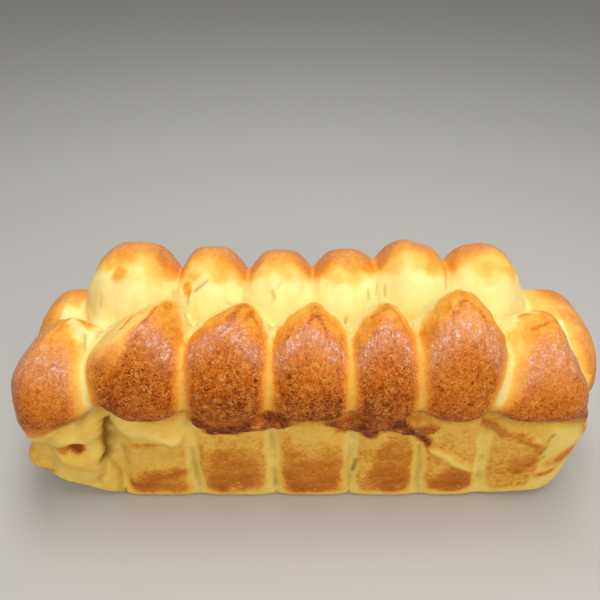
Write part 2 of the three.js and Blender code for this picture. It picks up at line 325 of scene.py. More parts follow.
# %% The loaf's field
BALL_BLEND, LEDGE_ROUNDING = 1.8, 7.0
RIM_BLEND, DROOP_BLEND = 3.0, 14.0
BLOCK_OVERLAP, BLOCK_ROUNDING, FOOT_ROUNDING = 3.0, 4.0, 3.0
CORE = dict(x=2.0, half_length=118.0, half_width=24.0, top=87.0, bottom=61.0)
CORE_CORNERS, CORE_TOP_ROUNDING, CORE_BOTTOM_ROUNDING, CORE_BLEND = 10.0, 8.0, 4.0, 6.0
LUMP_BLEND = 3.0
SLOPE_STEP = 0.15
LUMPS = [
    ((-141, -38, 29), (9, 9, 9)),
    ((-28, -51, 67.5), (24, 5.5, 3.5)),
    ((33, -51, 67.5), (16, 5.5, 4)),
    ((58, -51, 65), (14, 5, 5)),
    ((139, -35, 73), (10, 11, 9)),
]


def loaf_field(points):
    """The whole loaf: negative inside, positive outside."""
    x, y, z = points.T
    domes = ball_field(BALLS[0], x, y, z)
    for ball in BALLS[1:]:
        domes = smooth_min(domes, ball_field(ball, x, y, z), BALL_BLEND)
    rim = rim_height(x, y)
    domes = smooth_max(domes, rim - z, LEDGE_ROUNDING)
    block = smooth_max(wall_field(x, y, z), z - rim - BLOCK_OVERLAP, BLOCK_ROUNDING)
    block = smooth_max(block, foot_height(x) - z, FOOT_ROUNDING)
    past_core = np.abs(x - CORE["x"]) - CORE["half_length"]
    core = smooth_max(past_core, np.abs(y) - CORE["half_width"], CORE_CORNERS)
    core = smooth_max(core, z - CORE["top"], CORE_TOP_ROUNDING)
    core = smooth_max(core, CORE["bottom"] - z, CORE_BOTTOM_ROUNDING)
    loaf = smooth_min(domes, core, CORE_BLEND)
    loaf = smooth_min(loaf, block, RIM_BLEND + (DROOP_BLEND - RIM_BLEND) * sum(droops(x)))
    for centre, radii in LUMPS:
        offset = (points - centre) / radii
        loaf = smooth_min(loaf, (np.linalg.norm(offset, axis=1) - 1) * min(radii), LUMP_BLEND)
    return loaf


def loaf_slope(points):
    """The field's slope, which points straight out of the skin."""
    slope = np.empty_like(points)
    for axis in range(3):
        shift = np.zeros(3)
        shift[axis] = SLOPE_STEP
        slope[:, axis] = (loaf_field(points + shift) - loaf_field(points - shift)) / (2 * SLOPE_STEP)
    return slope


print("field at the loaf's heart, mm:", round(float(loaf_field(np.array([[0.0, 0.0, 60.0]]))[0]), 1))

# %% [markdown]
# ## A fine, even grid
# The solid has a few thousand large triangles, enough to weigh and to touch but not to look at.
# Subdividing it would only round its facets. A voxel Remesh of a merged copy gives an even grid of
# small quads instead, fine enough for the crust's relief.

# %% Remesh a copy of the solid
GRID_SIZE = 0.00143
MERGE_DISTANCE = 1e-6


def merged_copy(source, name):
    """A copy of a solid whose loose triangles are joined."""
    mesh = source.data.copy()
    work = bmesh.new()
    work.from_mesh(mesh)
    bmesh.ops.remove_doubles(work, verts=work.verts, dist=MERGE_DISTANCE)
    work.to_mesh(mesh)
    work.free()
    mesh.materials.clear()
    copy = bpy.data.objects.new(name, mesh)
    bpy.context.scene.collection.objects.link(copy)
    return copy


def make_plain(piece):
    """Turns what a piece's modifiers make into its own plain mesh."""
    evaluated = piece.evaluated_get(bpy.context.evaluated_depsgraph_get())
    mesh = bpy.data.meshes.new_from_object(evaluated)
    piece.modifiers.clear()
    piece.data = mesh


loaf = merged_copy(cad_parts["loaf"], "crusted_loaf")
remesh = loaf.modifiers.new("even grid", "REMESH")
remesh.mode = "VOXEL"
remesh.voxel_size = GRID_SIZE
make_plain(loaf)
print("grid points:", len(loaf.data.vertices), "faces:", len(loaf.data.polygons))

# %% [markdown]
# ## Onto the rule's skin
# The grid still follows the solid's facets. Each of its points is slid along the field's slope until
# it lies on the skin that the rule describes, which a Shrinkwrap could only do with a finer mesh to
# aim at. A few rounds of evening out keep the quads square in the creases.

# %% Slide the grid onto the rule's skin
# The form's X is counted from a mark near the tin's middle; the part's from the middle of its box.
LEFT_END = min(ball["x"] - ball["left_reach"] for ball in BALLS)
RIGHT_END = max(ball["x"] + ball["right_reach"] for ball in BALLS)
MIDDLE_X = (LEFT_END + RIGHT_END) / 2
SLIDES, LONGEST_SLIDE = 10, 0.9
EVENING_ROUNDS, EVENING_SHARE = 4, 0.5
MM_PER_METRE = 1000

flat = np.empty(len(loaf.data.vertices) * 3)
loaf.data.vertices.foreach_get("co", flat)
points = flat.reshape(-1, 3) * MM_PER_METRE
points[:, 0] += MIDDLE_X
edges = np.empty(len(loaf.data.edges) * 2, np.int32)
loaf.data.edges.foreach_get("vertices", edges)
edges = edges.reshape(-1, 2)
degree = np.bincount(edges.ravel(), minlength=len(points))


def neighbour_mean(values):
    """The mean of each point's neighbours, column by column."""
    total = np.zeros_like(values)
    for axis in range(values.shape[1]):
        total[:, axis] += np.bincount(edges[:, 0], values[edges[:, 1], axis], len(values))
        total[:, axis] += np.bincount(edges[:, 1], values[edges[:, 0], axis], len(values))
    return total / degree[:, None]


def slide_to_skin(points):
    """One step along the slope towards the skin; also gives the outward directions."""
    slope = loaf_slope(points)
    steepness = np.linalg.norm(slope, axis=1, keepdims=True) + 1e-9
    outward = slope / steepness
    distance = np.clip(loaf_field(points)[:, None] / steepness, -LONGEST_SLIDE, LONGEST_SLIDE)
    return points - distance * outward, outward


for _ in range(SLIDES):
    points, outward = slide_to_skin(points)
for _ in range(EVENING_ROUNDS):
    pull = neighbour_mean(points) - points
    pull -= outward * np.sum(pull * outward, axis=1, keepdims=True)
    points, outward = slide_to_skin(points + EVENING_SHARE * pull)
points, outward = slide_to_skin(points)
points[:, 2] = np.maximum(points[:, 2], 0)
print("left off the skin, mm:", round(float(np.abs(loaf_field(points)).max()), 2))
print("middle of the form, mm:", MIDDLE_X, "box:", points.min(0).round(1), points.max(0).round(1))

# %% [markdown]
# ## Whose skin is it
# Browning, wrinkles and gloss all follow the balls, so every point is told which ball it lies on,
# how far round that ball it is (0 degrees faces outwards, 90 is the crest, 180 faces the valley),
# how far along it is from middle to crease, and how far away the nearest crease is. The balls at
# the ends have a free side, which counts more or less as facing outwards too.

# %% Chart the points
FIRST_BALL, SECOND_BALL, LAST_FRONT = 0, 1, FRONT_COUNT - 1
FIRST_BACK, LAST_BALL = FRONT_COUNT, len(BALLS) - 1
FREE_SIDES = {FIRST_BALL: 1.0, LAST_FRONT: 1.0, FIRST_BACK: 0.8, LAST_BALL: 0.32}
PROBE_MM = 0.6
FLATTEST_GAP = 0.06

x, y, z = points.T


def ball_values(shift):
    """Every ball's field at the points, moved along X by a shift."""
    return np.array([ball_field(ball, x + shift, y, z) for ball in BALLS])


def gap_between(values):
    """How much nearer the nearest ball is than the next one."""
    nearest, next_one = np.partition(values, 1, axis=0)[:2]
    return next_one - nearest


values_here = ball_values(0.0)
owner = np.argmin(values_here, axis=0)
gap_change = np.abs(gap_between(ball_values(PROBE_MM)) - gap_between(ball_values(-PROBE_MM)))
crease_mm = gap_between(values_here) / np.maximum(gap_change / (2 * PROBE_MM), FLATTEST_GAP)
turn = np.zeros(len(points))
along_share = np.zeros(len(points))
along_mm = np.zeros(len(points))
for index, ball in enumerate(BALLS):
    mine = owner == index
    outward_share, upward_share, _, along, reach = ball_chart(ball, x[mine], y[mine], z[mine])
    along_share[mine] = along / reach
    end_reach = max(ball["left_reach"], ball["right_reach"])
    if end_reach:
        past_heart = -along if ball["left_reach"] else along
        sideways = FREE_SIDES[index] * past_heart / end_reach
        outward_share = np.where(past_heart > 0, np.maximum(outward_share, sideways), outward_share)
        along_share[mine] = np.where(past_heart > 0, 0, along / reach)
    turn[mine] = np.degrees(np.arctan2(upward_share, outward_share))
    along_mm[mine] = along
in_front = owner < FRONT_COUNT
print("points on the front row's balls:", int(in_front.sum()), "on the back row's:", int((~in_front).sum()))

# %% [markdown]
# ## Soft noise
# Nothing in an oven has a ruled edge. A small lattice of seeded random numbers, blended smoothly
# between its corners, gives the borders of the brown places and the dough's unevenness. A Noise
# Texture looks the same, but the browning is worked out before there are nodes to hold one.

# %% A seeded lattice noise
LATTICE_SIZE = 32
LATTICE = np.random.default_rng(11).uniform(-1, 1, (LATTICE_SIZE,) * 3)


def soft_noise(places, size):
    """Smooth noise from -1 to 1 with features of about a size in mm."""
    cell = places / size
    base = np.floor(cell).astype(int)
    share = ease(cell - base, 0, 1)
    total = np.zeros(len(places))
    for corner in np.ndindex(2, 2, 2):
        weight = np.prod(np.where(np.array(corner) == 1, share, 1 - share), axis=1)
        i, j, k = ((base + corner) % LATTICE_SIZE).T
        total += weight * LATTICE[i, j, k]
    return total


# Each pattern reads the lattice from a place of its own.
rough_edge = soft_noise(points, 7.0) * 0.6 + soft_noise(points + 40, 3.2) * 0.4
cloud = soft_noise(points + 90, 16.0)
blotch = soft_noise(points + 150, 9.0) * 0.65 + soft_noise(points + 60, 4.5) * 0.35
print("noise from", rough_edge.min().round(2), "to", rough_edge.max().round(2))

# %% [markdown]
# ## Where the oven browned it: how far
# The egg-washed domes browned wherever they faced out of the loaf, and stayed pale yellow in the
# valley, where the balls shaded each other. On the front row a brown arch stands inside a wider
# amber one that ends just past the crest; on the back row the amber ends in a ragged band. Painting
# this by hand would be lost with every change of form, so it is worked out from the chart: each
# colour ends at some turn round its ball, sooner towards the creases, two of which are wide. The
# spans in the formulas are degrees of turn or millimetres, and the noise weights are given.

# %% Reach of the amber and the brown
WIDE_CREASES = [
    dict(x=-98.5, half=13.0, extra=4.0, span=(66.0, 78.0)),
    dict(x=99.0, half=10.0, extra=2.0, span=(78.0, 90.0)),
]
SECOND_BALL_CREASE = 0.2
# A colour's arch over a ball: the turn where it ends, its fall to the creases, the fall's power.
FRONT_ARCHES = dict(amber=(108, 26, 1.6), brown=(90, 18, 1.5))
BACK_ARCHES = dict(amber=(103, 17, 3), brown=(86, 12, 3))
# Degrees by which a ball's amber or brown ends sooner than its row's.
AMBER_SHORTER = ([8, 0, 0, 0, 0, 0, 0], [16, 0, 0, 0, 0, 0, 9, 14])
BROWN_SHORTER = ([0, 0, 0, 0, 0, 0, 6], [18, 0, 0, 0, 0, 0, 0, 0])
FIRST_BALL_FLANK, LIGHT_FLANK = 16, 31
FRONT_FADE, BACK_FADE, BROWN_FADE = 8, 15, (26, 9)
SHADED_MM = (6.0, 20.0)


def by_ball(front, back):
    """The value of each point's own ball, from a list for each row or one number for all of it."""
    return np.concatenate([np.broadcast_to(front, FRONT_COUNT), np.broadcast_to(back, BACK_COUNT)])[owner]


def arch_end(name, front_ragged, back_ragged):
    """The turn at which a colour ends on each ball, ragged by noise."""
    arches = (FRONT_ARCHES[name], BACK_ARCHES[name])
    front_end, back_end = (top - fall * across**power for top, fall, power in arches)
    return np.where(in_front, front_end + front_ragged, back_end + back_ragged)


across = np.abs(along_share)
crease_width = np.ones(len(points))
for spec in WIDE_CREASES:
    here = near(x, spec["x"], spec["half"]) * ease(z, *spec["span"]) * in_front
    crease_width += spec["extra"] * here * np.where(owner == SECOND_BALL, SECOND_BALL_CREASE, 1.0)
light_flank = ease(-along_share, 0.0, 0.3) * (owner == SECOND_BALL)
light_flank += 0.8 * ease(-along_share, 0.3, 0.7) * (owner == LAST_FRONT)
amber_end = arch_end("amber", 9 * rough_edge, 15 * blotch)
amber_end -= by_ball(*AMBER_SHORTER) + FIRST_BALL_FLANK * ease(along_share, -0.2, 0.7) * (owner == FIRST_BALL)
brown_end = arch_end("brown", 10 * blotch, 16 * blotch)
brown_end -= by_ball(*BROWN_SHORTER) + LIGHT_FLANK * light_flank

ragged_mm = crease_mm + 0.9 * rough_edge
shaded = np.where(owner == LAST_BALL, ease(ragged_mm, *SHADED_MM), 1.0)
amber_fade = np.where(in_front, FRONT_FADE, BACK_FADE)
back_crease = 0.7 + 0.3 * ease(ragged_mm, 0.3, 1.5)
amber_share = 1 - ease(turn, amber_end - amber_fade, amber_end + amber_fade)
amber_share *= np.where(in_front, ease(ragged_mm, 0.3, 1.9 * crease_width), back_crease) * shaded
brown_crease = ease(ragged_mm, 1.2 * crease_width, 3.5 * crease_width + 2)
brown_share = 1 - ease(turn, brown_end - BROWN_FADE[0], brown_end + BROWN_FADE[1])
brown_share *= np.where(in_front | (turn < 70), brown_crease, 1.0) * shaded
print("share of the skin that is amber:", amber_share.mean().round(2), "brown:", brown_share.mean().round(2))

# %% [markdown]
# ## Where the oven browned it: how dark
# A dome is darkest low down, where it faced the oven's wall, and lighter towards its crest. Browning
# is kept as one number, from 0 for raw dough to 1 for nearly burnt, so that a single ramp can colour
# it later. The creases are pale, with a thin golden line low down, and a peach flush runs a little
# way past the amber.

# %% Level of the browning
FRONT_TONE = [0.94, 1.05, 1.05, 1.01, 1.03, 0.94, 0.88]
BACK_TONE = [0.8, 0.95, 1.0, 0.95, 1.0, 1.0, 0.95, 0.85]
FRONT_LEVELS = ([-20, 0, 20, 45, 60, 74, 90, 180], [0.9, 0.89, 0.85, 0.78, 0.73, 0.65, 0.55, 0.44])
BACK_LEVELS = ([-20, 0, 20, 45, 65, 80, 100, 180], [0.88, 0.84, 0.78, 0.7, 0.62, 0.54, 0.46, 0.4])
FOOT_BANDS = [-0.04, -0.03, -0.06, 0.12, 0.0, 0.08, 0.12]
PALE, FRONT_AMBER, BACK_AMBER, PEACH = 0.05, 0.4, 0.48, 0.24
CREASE_GOLD, FLUSH, TUFT = 0.24, 0.07, 0.22

level = np.where(in_front, np.interp(turn, *FRONT_LEVELS), np.interp(turn, *BACK_LEVELS))
level = level * by_ball(FRONT_TONE, BACK_TONE) + 0.06 * cloud + 0.05 * blotch
level += by_ball(FOOT_BANDS, 0) * (1 - ease(turn, -3, 8))
level *= 1 - 0.6 * ease(-turn, -4, 16) * (owner == FIRST_BALL)
amber = np.where(in_front, FRONT_AMBER, BACK_AMBER) + 0.06 * blotch
amber *= 1 - 0.5 * ease(-turn, 8, 22) * (owner == FIRST_BALL)
amber -= 0.22 * light_flank * ease(turn, 46, 62)
narrow_crease = (1 - ease(turn, 45, 88)) * (1 - ease(crease_width, 1.2, 1.9)) * in_front
crease_floor = PALE + CREASE_GOLD * narrow_crease
peach_end = amber_end + np.where(in_front, 6.0, 20.0 + 16 * soft_noise(points + 210, 12.0))
peach_share = (1 - ease(turn, peach_end - 12, peach_end + 12)) * ease(ragged_mm, 0.3, 3.0)
flush = FLUSH * ease(blotch, 0.15, 0.6) * (1 - ease(turn, 125, 155))
dome_bake = crease_floor + flush + peach_share * np.maximum(PEACH - crease_floor, 0)
dome_bake += amber_share * (amber - dome_bake)
dome_bake += brown_share * (level - amber)
dome_bake += TUFT * near(turn, 99, 6) * near(along_mm, 0, 2.2) * in_front
print("mean browning of the domes:", dome_bake.mean().round(2))

# %% [markdown]
# ## Where the egg wash shines
# Egg wash dries to a thin clear glaze. Under a broad light it shows as a pinkish arch below each
# crest, following the ball's curve, and more faintly along the back row. A coat all over would look
# like plastic, so its weight is kept as a number on the skin too. The same number paints a pinkish
# sheen and white glitter into the crust's colour, as painted highlights on the arch.

# %% The glaze's arches
SHEEN_TURNS = ([60, 70, 70, 69, 68, 67, 60], 88)
SHEEN_WIDTHS = ([18, 11, 11, 12, 13, 15, 19], 14)
BACK_SHEEN = 0.5

arch_turn = turn + 26 * across**1.2 - 4 * blotch
arch = near(arch_turn, by_ball(*SHEEN_TURNS), by_ball(*SHEEN_WIDTHS)) * np.where(in_front, 1.0, BACK_SHEEN)
# The arches weight the clear coat and also place the painted sheen and glitter.
glaze_and_painted_sheen = arch * np.maximum(brown_share, np.where(in_front, 0.3, 0.8) * amber_share)
print("share of the skin that shines:", (glaze_and_painted_sheen > 0.3).mean().round(2))

# %% [markdown]
# ## Where the tin browned it: faces and seams
# Against the tin each ball took a flat golden face, inside a pale, rounded border where it only
# touched its neighbours. The faces are round-cornered patches between two seams. They are worked out
# from the same seams that crease the form, so colour and crease cannot drift apart.

# %% A round-cornered patch
def patch(across, upright, foot, top, height, power, soft):
    """1 inside a round-cornered patch that may lean or narrow, 0 outside it, with a soft edge."""
    rise = np.clip((upright - height[0]) / (height[1] - height[0]), 0, 1)
    left = foot[0] + (top[0] - foot[0]) * rise
    right = foot[1] + (top[1] - foot[1]) * rise
    across_share = np.abs(2 * across - left - right) / (right - left)
    upright_share = np.abs(2 * upright - height[0] - height[1]) / (height[1] - height[0])
    reach = (across_share**power + upright_share**power) ** (1 / power)
    return 1 - ease(reach, 1 - soft, 1 + 0.6 * soft)


print("a patch in its middle and beside it:", patch(np.array([0, 2]), 0, (-1, 1), (-1, 1), (-1, 1), 2, 0.2))

# %% Faces, seams and ends
SEAM_LEVEL, PANEL_LEVEL = 0.06, 0.42
# The ends are pale free dough; the right end is set paler than the left, partly as a painted highlight.
LEFT_END_LEVEL, RIGHT_END_LEVEL, END_PATCH_LEVEL = 0.09, 0.02, 0.54
FACE_INSETS, FACE_HEIGHT, FACE_POWER, FACE_SOFTNESS = (2.0, 2.6), (2.0, 66.0), 5.0, 0.18
FRONT_LAST_EDGE, BACK_EDGES = 131.0, (-141.0, 148.0)
FACE_PALES_UPWARDS, PALER_FACES_END = (40, 62), (-66, -52)
SEAM_BAND_WIDTH, EDGE_PALING = 6.5, 3.2
LEFT_END_SPAN, RIGHT_END_SPAN, END_SPAN_Y = (96, 104), (126, 134), (-12, 18)
END_PATCH = dict(foot=(-24, 28), top=(-20, 24), height=(14, 54), power=2.4, soft=0.6)


def pressed_faces(row, before, after):
    """1 on the faces that a row's balls pressed against the tin, 0 in the seams between them."""
    at_foot = before + row["foot_seams"] + after
    at_rim = before + row["rim_seams"] + after
    places = (seam_x, z + 1.2 * blotch)
    faces = []
    for index in range(len(at_foot) - 1):
        foot = (at_foot[index] + FACE_INSETS[0], at_foot[index + 1] - FACE_INSETS[0])
        top = (at_rim[index] + FACE_INSETS[1], at_rim[index + 1] - FACE_INSETS[1])
        faces.append(patch(*places, foot, top, FACE_HEIGHT, FACE_POWER, FACE_SOFTNESS))
    return np.max(faces, axis=0)


def nearest_seam(row):
    """1 on a row's seams, falling to 0 beside them."""
    return np.max(seam_shares(row, seam_x, z, SEAM_BAND_WIDTH), axis=0)


rim = rim_height(x, y)
on_side = ease(rim - z - 3 * np.minimum(outward[:, 2], 0), -0.5, 2.5)
seam_x = x + 1.1 * rough_edge + 1.7 * soft_noise(points + 260, 13.0)
seam_band = np.where(y < 0, nearest_seam(FRONT_ROW), nearest_seam(BACK_ROW))
front_faces = pressed_faces(FRONT_ROW, [], [FRONT_LAST_EDGE])
back_faces = pressed_faces(BACK_ROW, [BACK_EDGES[0]], [BACK_EDGES[1]])
faces = np.where(y < 0, front_faces, back_faces)
panel = PANEL_LEVEL * (1 - 0.4 * ease(z, *FACE_PALES_UPWARDS)) + 0.08 * cloud + 0.14 * blotch
panel *= np.where(y < 0, 0.6 + 0.4 * ease(x, *PALER_FACES_END), 1.0)
side_bake = SEAM_LEVEL + (panel - SEAM_LEVEL) * faces
# Low down the faces' edges are paled further, partly pale dough and partly a painted highlight on their
# rounded edge.
side_bake -= side_bake * EDGE_PALING * faces * (1 - faces) * (1 - ease(z, 46, 62))
past_ends = np.maximum(ease(-x, *LEFT_END_SPAN), ease(x, *RIGHT_END_SPAN)) * ease(-y, *END_SPAN_Y)
end_level = np.where(x < 0, LEFT_END_LEVEL, RIGHT_END_LEVEL)
side_bake += (end_level + 0.11 * blotch - side_bake) * past_ends
end_patch = patch(y + 4 * blotch, z + 5 * cloud + 2 * blotch, **END_PATCH)
end_patch *= ease(np.abs(outward[:, 0]), 0.5, 0.85)
side_bake += (END_PATCH_LEVEL + 0.12 * blotch - side_bake) * end_patch
print("share of the skin that sat in the tin:", on_side.mean().round(2))

# %% [markdown]
# ## Where the tin browned it: patches and tears
# The middle of each face caught an orange-brown patch, golden towards the top. Under the rim the
# crust tore as the loaf rose, and the torn strips baked dark. On the front the patches and tears are
# placed one by one, as (x, z) places on the flat side; the back, which is like it, draws its own
# from a seeded generator.

# %% Patches and tears of the front
FRONT_PATCHES = [
    dict(foot=(-96, -61), top=(-88, -63), height=(2, 29), level=0.6, power=3.2),
    dict(foot=(-54, -21), top=(-45, -22), height=(4, 46), level=0.7, power=3.6),
    dict(foot=(-11, 25), top=(-8, 24), height=(4, 43), level=0.71, power=4),
    dict(foot=(31, 65), top=(46, 58), height=(4, 58), level=0.71, power=2.8),
    dict(foot=(69, 101), top=(77, 90), height=(6, 31), level=0.74, power=2.3),
    dict(foot=(104, 126), top=(100, 131), height=(20, 54), level=0.5, power=2.6),
    dict(foot=(112, 126), top=(112, 129), height=(22, 40), level=0.68, power=2.4),
]
FRONT_TEARS = [
    ((-51, 68), (-38, 65.5), 4.2),
    ((-40, 65), (-22, 68), 5.2),
    ((-24, 68), (-7, 70.5), 4.2),
    ((-44, 61.5), (-33, 61), 4.0),
    ((16, 67), (24, 67.5), 3.4),
    ((22, 67), (38, 66.5), 5.6),
    ((26, 61.5), (36, 60), 3.8),
    ((38, 68), (52, 69), 3.6),
    ((50, 68), (62, 63), 5.0),
    ((56, 62), (66, 51), 3.4),
    ((61, 54), (70, 46), 2.4),
]
print("on the front, patches:", len(FRONT_PATCHES), "strips of tears:", len(FRONT_TEARS))


# %% Patches and tears of the back
def back_panels():
    """Patches and tears for the back, between each two seams, of varied height and tone."""
    draw = np.random.default_rng(5)
    patches, tears = [], []
    seams = BACK_ROW["foot_seams"]
    for left, right in zip(seams[:-1], seams[1:]):
        lean = draw.uniform(-3, 3)
        spec = dict(foot=(left + 4, right - 4), top=(left + 6 + lean, right - 6 + lean))
        spec["height"] = (4, draw.uniform(32, 58))
        spec["level"] = draw.uniform(0.58, 0.7)
        spec["power"] = draw.uniform(3, 6)
        patches.append(spec)
        start = (left + draw.uniform(-4, 10), draw.uniform(58, 66))
        end = (right - draw.uniform(-4, 18), draw.uniform(60, 70))
        if draw.uniform() < 0.6:
            tears.append((start, end, draw.uniform(2, 4.5)))
            tail = (end[0] + draw.uniform(4, 12), end[1] - draw.uniform(-2, 9))
            tears.append((end, tail, draw.uniform(1.6, 3)))
    return patches, tears


BACK_PATCHES, BACK_TEARS = back_panels()
print("on the back, patches:", len(BACK_PATCHES), "strips of tears:", len(BACK_TEARS))

# %% Brown the patches and tears
PATCH_SOFTNESS, PATCH_FADE = 0.32, 0.22
TEAR_LEVEL, TEAR_EDGE_LEVEL, TEAR_EDGE_WIDTH = 0.89, 0.54, 1.6
SIDE_Y = 15


def stroke(places, start, end, width):
    """1 along a straight stroke, falling to 0 a width or two away from it."""
    start, end = np.array(start, float), np.array(end, float)
    run = end - start
    share = np.clip((places - start) @ run / (run @ run), 0, 1)
    return near(np.linalg.norm(places - start - share[:, None] * run, axis=1), 0, width)


side_places = np.column_stack([x + 2.0 * rough_edge, z + 2.0 * soft_noise(points + 20, 6.0)])
patch_drift = 5.0 * soft_noise(points + 300, 11.0) + 2.0 * blotch
patch_places = (side_places + np.column_stack([2.4 * blotch, patch_drift])).T
ragged_places = side_places + 1.8 * np.column_stack([blotch, rough_edge])
bands = soft_noise(np.column_stack([x / 4 - z / 3, y / 4, z]) + 30, 3.2)
tear = np.zeros(len(points))
torn_edge = np.zeros(len(points))
sides = [(y < -SIDE_Y, FRONT_PATCHES, FRONT_TEARS), (y > SIDE_Y, BACK_PATCHES, BACK_TEARS)]
for facing, patches, tears in sides:
    for spec in patches:
        low, high = spec["height"]
        tone = spec["level"] * (1 - PATCH_FADE * np.clip((z - low) / (high - low), 0, 1))
        tone += 0.06 * blotch + 0.09 * bands
        shape = (spec["foot"], spec["top"], spec["height"], spec["power"], PATCH_SOFTNESS)
        side_bake += np.maximum(tone - side_bake, 0) * (patch(*patch_places, *shape) * facing)
    for start, end, width in tears:
        tear = np.maximum(tear, ease(stroke(ragged_places, start, end, width), 0.3, 0.7) * facing)
        edge = stroke(ragged_places, start, end, width * TEAR_EDGE_WIDTH) * facing
        torn_edge = np.maximum(torn_edge, edge)
side_bake = np.maximum(side_bake, TEAR_EDGE_LEVEL * ease(torn_edge, 0.15, 0.6))
side_bake += (TEAR_LEVEL + 0.3 * rough_edge - side_bake) * tear
print("share of the skin that tore:", tear.mean().round(3))

# %% [markdown]
# ## The foot and the underside
# The loaf's lowest edge hardly touched the tin, so a thin pale line runs along the foot. Underneath,
# where it stood on the hot bottom, it is evenly brown. A line at one height would leave the curled
# ends, so the pale edge is measured from the foot's own height.

# %% The foot and the underside
FOOT_LEVEL, FOOT_SHARE, UNDERSIDE_LEVEL = 0.04, 0.85, 0.6

foot_edge = 1 - ease(z - foot_height(x) - 1.0 * rough_edge - 2.5 * ease(x, 50, 110), 1.5, 5.5)
side_bake += (FOOT_LEVEL - side_bake) * FOOT_SHARE * foot_edge
underside = ease(-outward[:, 2], 0.6, 0.9) * ease(4 - z, 0, 3)
side_bake += (UNDERSIDE_LEVEL + 0.1 * cloud + 0.08 * blotch - side_bake) * underside
print("share of the skin that is underside:", underside.mean().round(2))

# %% [markdown]
# ## Folds and cracks
# Folds, hollows and knobs too small for the solid still catch the light: a bulge with a curled rim
# at the left, a fold of pale dough across the second ball's side, ridges beside the tears, cracks
# down the seams. Sculpting would break the even grid, so each is a stroke on the flat side, from
# (x, z) to (x, z), with a width and a height, or for a crack its depth as a share. All of them move
# the skin along its outward direction, so it stays closed. The cracks' share also paints them dark,
# as painted shade inside them, and one more stroke paints shade in the groove without moving it.

# %% Folds and cracks
FOLDS = [
    ((-121, 37), (-113, 35), 10.0, 3.0),
    ((-122, 55), (-107, 58), 6.0, 1.6),
    ((-128, 56), (-134, 26), 4.0, -2.0),
    ((-128, 56), (-106, 66), 7.0, 4.0),
    ((-99, 66), (-104, 35), 2.2, -2.6),
    ((-104, 34), (-113, 14), 2.4, -2.0),
    ((-106, 22), (-104, 10), 5.5, 1.8),
    ((-94, 66), (-66, 55), 6.0, 2.8),
    ((-90, 46.5), (-70, 44.5), 3.4, -1.7),
    ((-66, 52), (-62, 50), 4.5, 1.6),
    ((72, 43), (98, 22), 3.0, 1.2),
    ((88, 65), (120, 53), 3.5, 1.4),
    ((128, 58), (127, 40), 4.0, 1.2),
    ((-12, 68), (14, 68), 2.0, 0.9),
    ((34, 52), (44, 62), 3.5, 0.9),
    ((-52, 20), (-50, 44), 3.0, 0.9),
]
CRACKS = [
    ((30, 33), (29, 22), 0.9, 0.9),
    ((-14, 36), (-13.2, 8), 0.9, 0.4),
    ((-57.3, 34), (-57.2, 8), 0.9, 0.3),
    ((63, 45), (65, 30), 0.9, 0.4),
    ((129, 58), (126.5, 41), 1.1, 0.7),
    ((129, 39), (123, 30), 1.1, 0.8),
    ((-99.8, 4.5), (-99.8, 0.5), 0.9, 0.9),
    ((-83.2, 3), (-83.2, 0.5), 0.8, 0.7),
    ((-13.2, 4), (-13.2, 0.5), 0.8, 0.8),
    ((28, 3.5), (28, 0.5), 0.8, 0.7),
    ((68.9, 4.5), (68.9, 0.5), 0.9, 0.9),
]
# A painted shade stroke: darkens the groove without moving the skin.
GROOVE_SHADE = ((-99, 66), (-104, 35), 2.4)
TEAR_RISE, CRACK_DEPTH = 1.0, 0.8

on_front = (y < -SIDE_Y) * on_side
relief = np.zeros(len(points))
for start, end, width, height in FOLDS:
    relief += height * on_front * stroke(side_places, start, end, width)
crack_and_shade = np.zeros(len(points))
broken_up = on_front * ease(soft_noise(points + 70, 5.0), -0.7, 0.0)
for start, end, width, share in CRACKS:
    crack_and_shade = np.maximum(crack_and_shade, share * broken_up * stroke(np.column_stack([x, z]), start, end, width))
relief += TEAR_RISE * tear * on_side - CRACK_DEPTH * crack_and_shade
crack_and_shade = np.maximum(crack_and_shade, on_front * stroke(side_places, *GROOVE_SHADE))
print("folds from", relief.min().round(1), "to", relief.max().round(1), "mm")

# %% [markdown]
# ## Streaks and painted shade
# A few streaks on the sides are darker or paler than their face. In the bottoms of creases and seams,
# in the hollows, under the rim and along the wrinkles, shade is painted in as a greenish olive tint,
# since light hardly gets there. That tint is apart from browning, so it is kept as a second number;
# under the rim the browning is raised too, as painted shadow. Each stroke ends in its tone or share.

# %% Streaks and painted shade
STREAKS = [
    ((-88, 46.5), (-76, 45), 2.2, 0.56),
    ((-93, 10), (-82, 14), 4.0, 0.74),
    ((-80, 18), (-64, 24), 3.0, 0.7),
    ((137.5, 33.5), (144.5, 40.5), 5.0, 0.64),
    ((131, 22), (138, 25), 2.6, 0.64),
    ((-146, 24), (-138, 22), 3.5, 0.55),
    ((-149, 37), (-141, 31), 6.0, 0.3),
    ((-148, 54), (-136, 48), 7.0, 0.36),
    ((70, 46), (98, 22), 2.2, 0.0),
    ((100, 63), (124, 53), 2.2, 0.02),
    ((112, 56), (124, 48), 2.2, 0.6),
    ((93, 67), (104, 60), 3.4, 0.74),
    ((99, 62), (118, 55), 2.4, 0.58),
    ((-90, 62), (-66, 54), 5.0, 0.0),
    ((-95, 66), (-96.5, 48), 1.6, 0.0),
]
# Painted shade in grooves and hollows of the front side: strokes from (x, z) to (x, z), a width and a share.
PAINTED_SHADE_PLACES = [
    ((-104, 35), (-101, 2), 1.8, 0.7),
    ((-110, 71), (-98, 76), 4.0, 0.7),
    ((-128, 60), (-134, 28), 3.0, 0.35),
    ((-104, 34), (-113, 14), 1.8, 0.5),
    ((-92, 42), (-68, 40), 3.5, 0.35),
    ((92, 67), (101, 60), 4.0, 0.3),
    ((104, 68), (118, 66), 4.0, 0.35),
]
UNDER_RIM_SHADOW_LEVEL = 0.46
FRONT_SEAM_SHADE, BACK_SEAM_SHADE, SEAM_SHARPNESS = 0.65, 0.4, 18

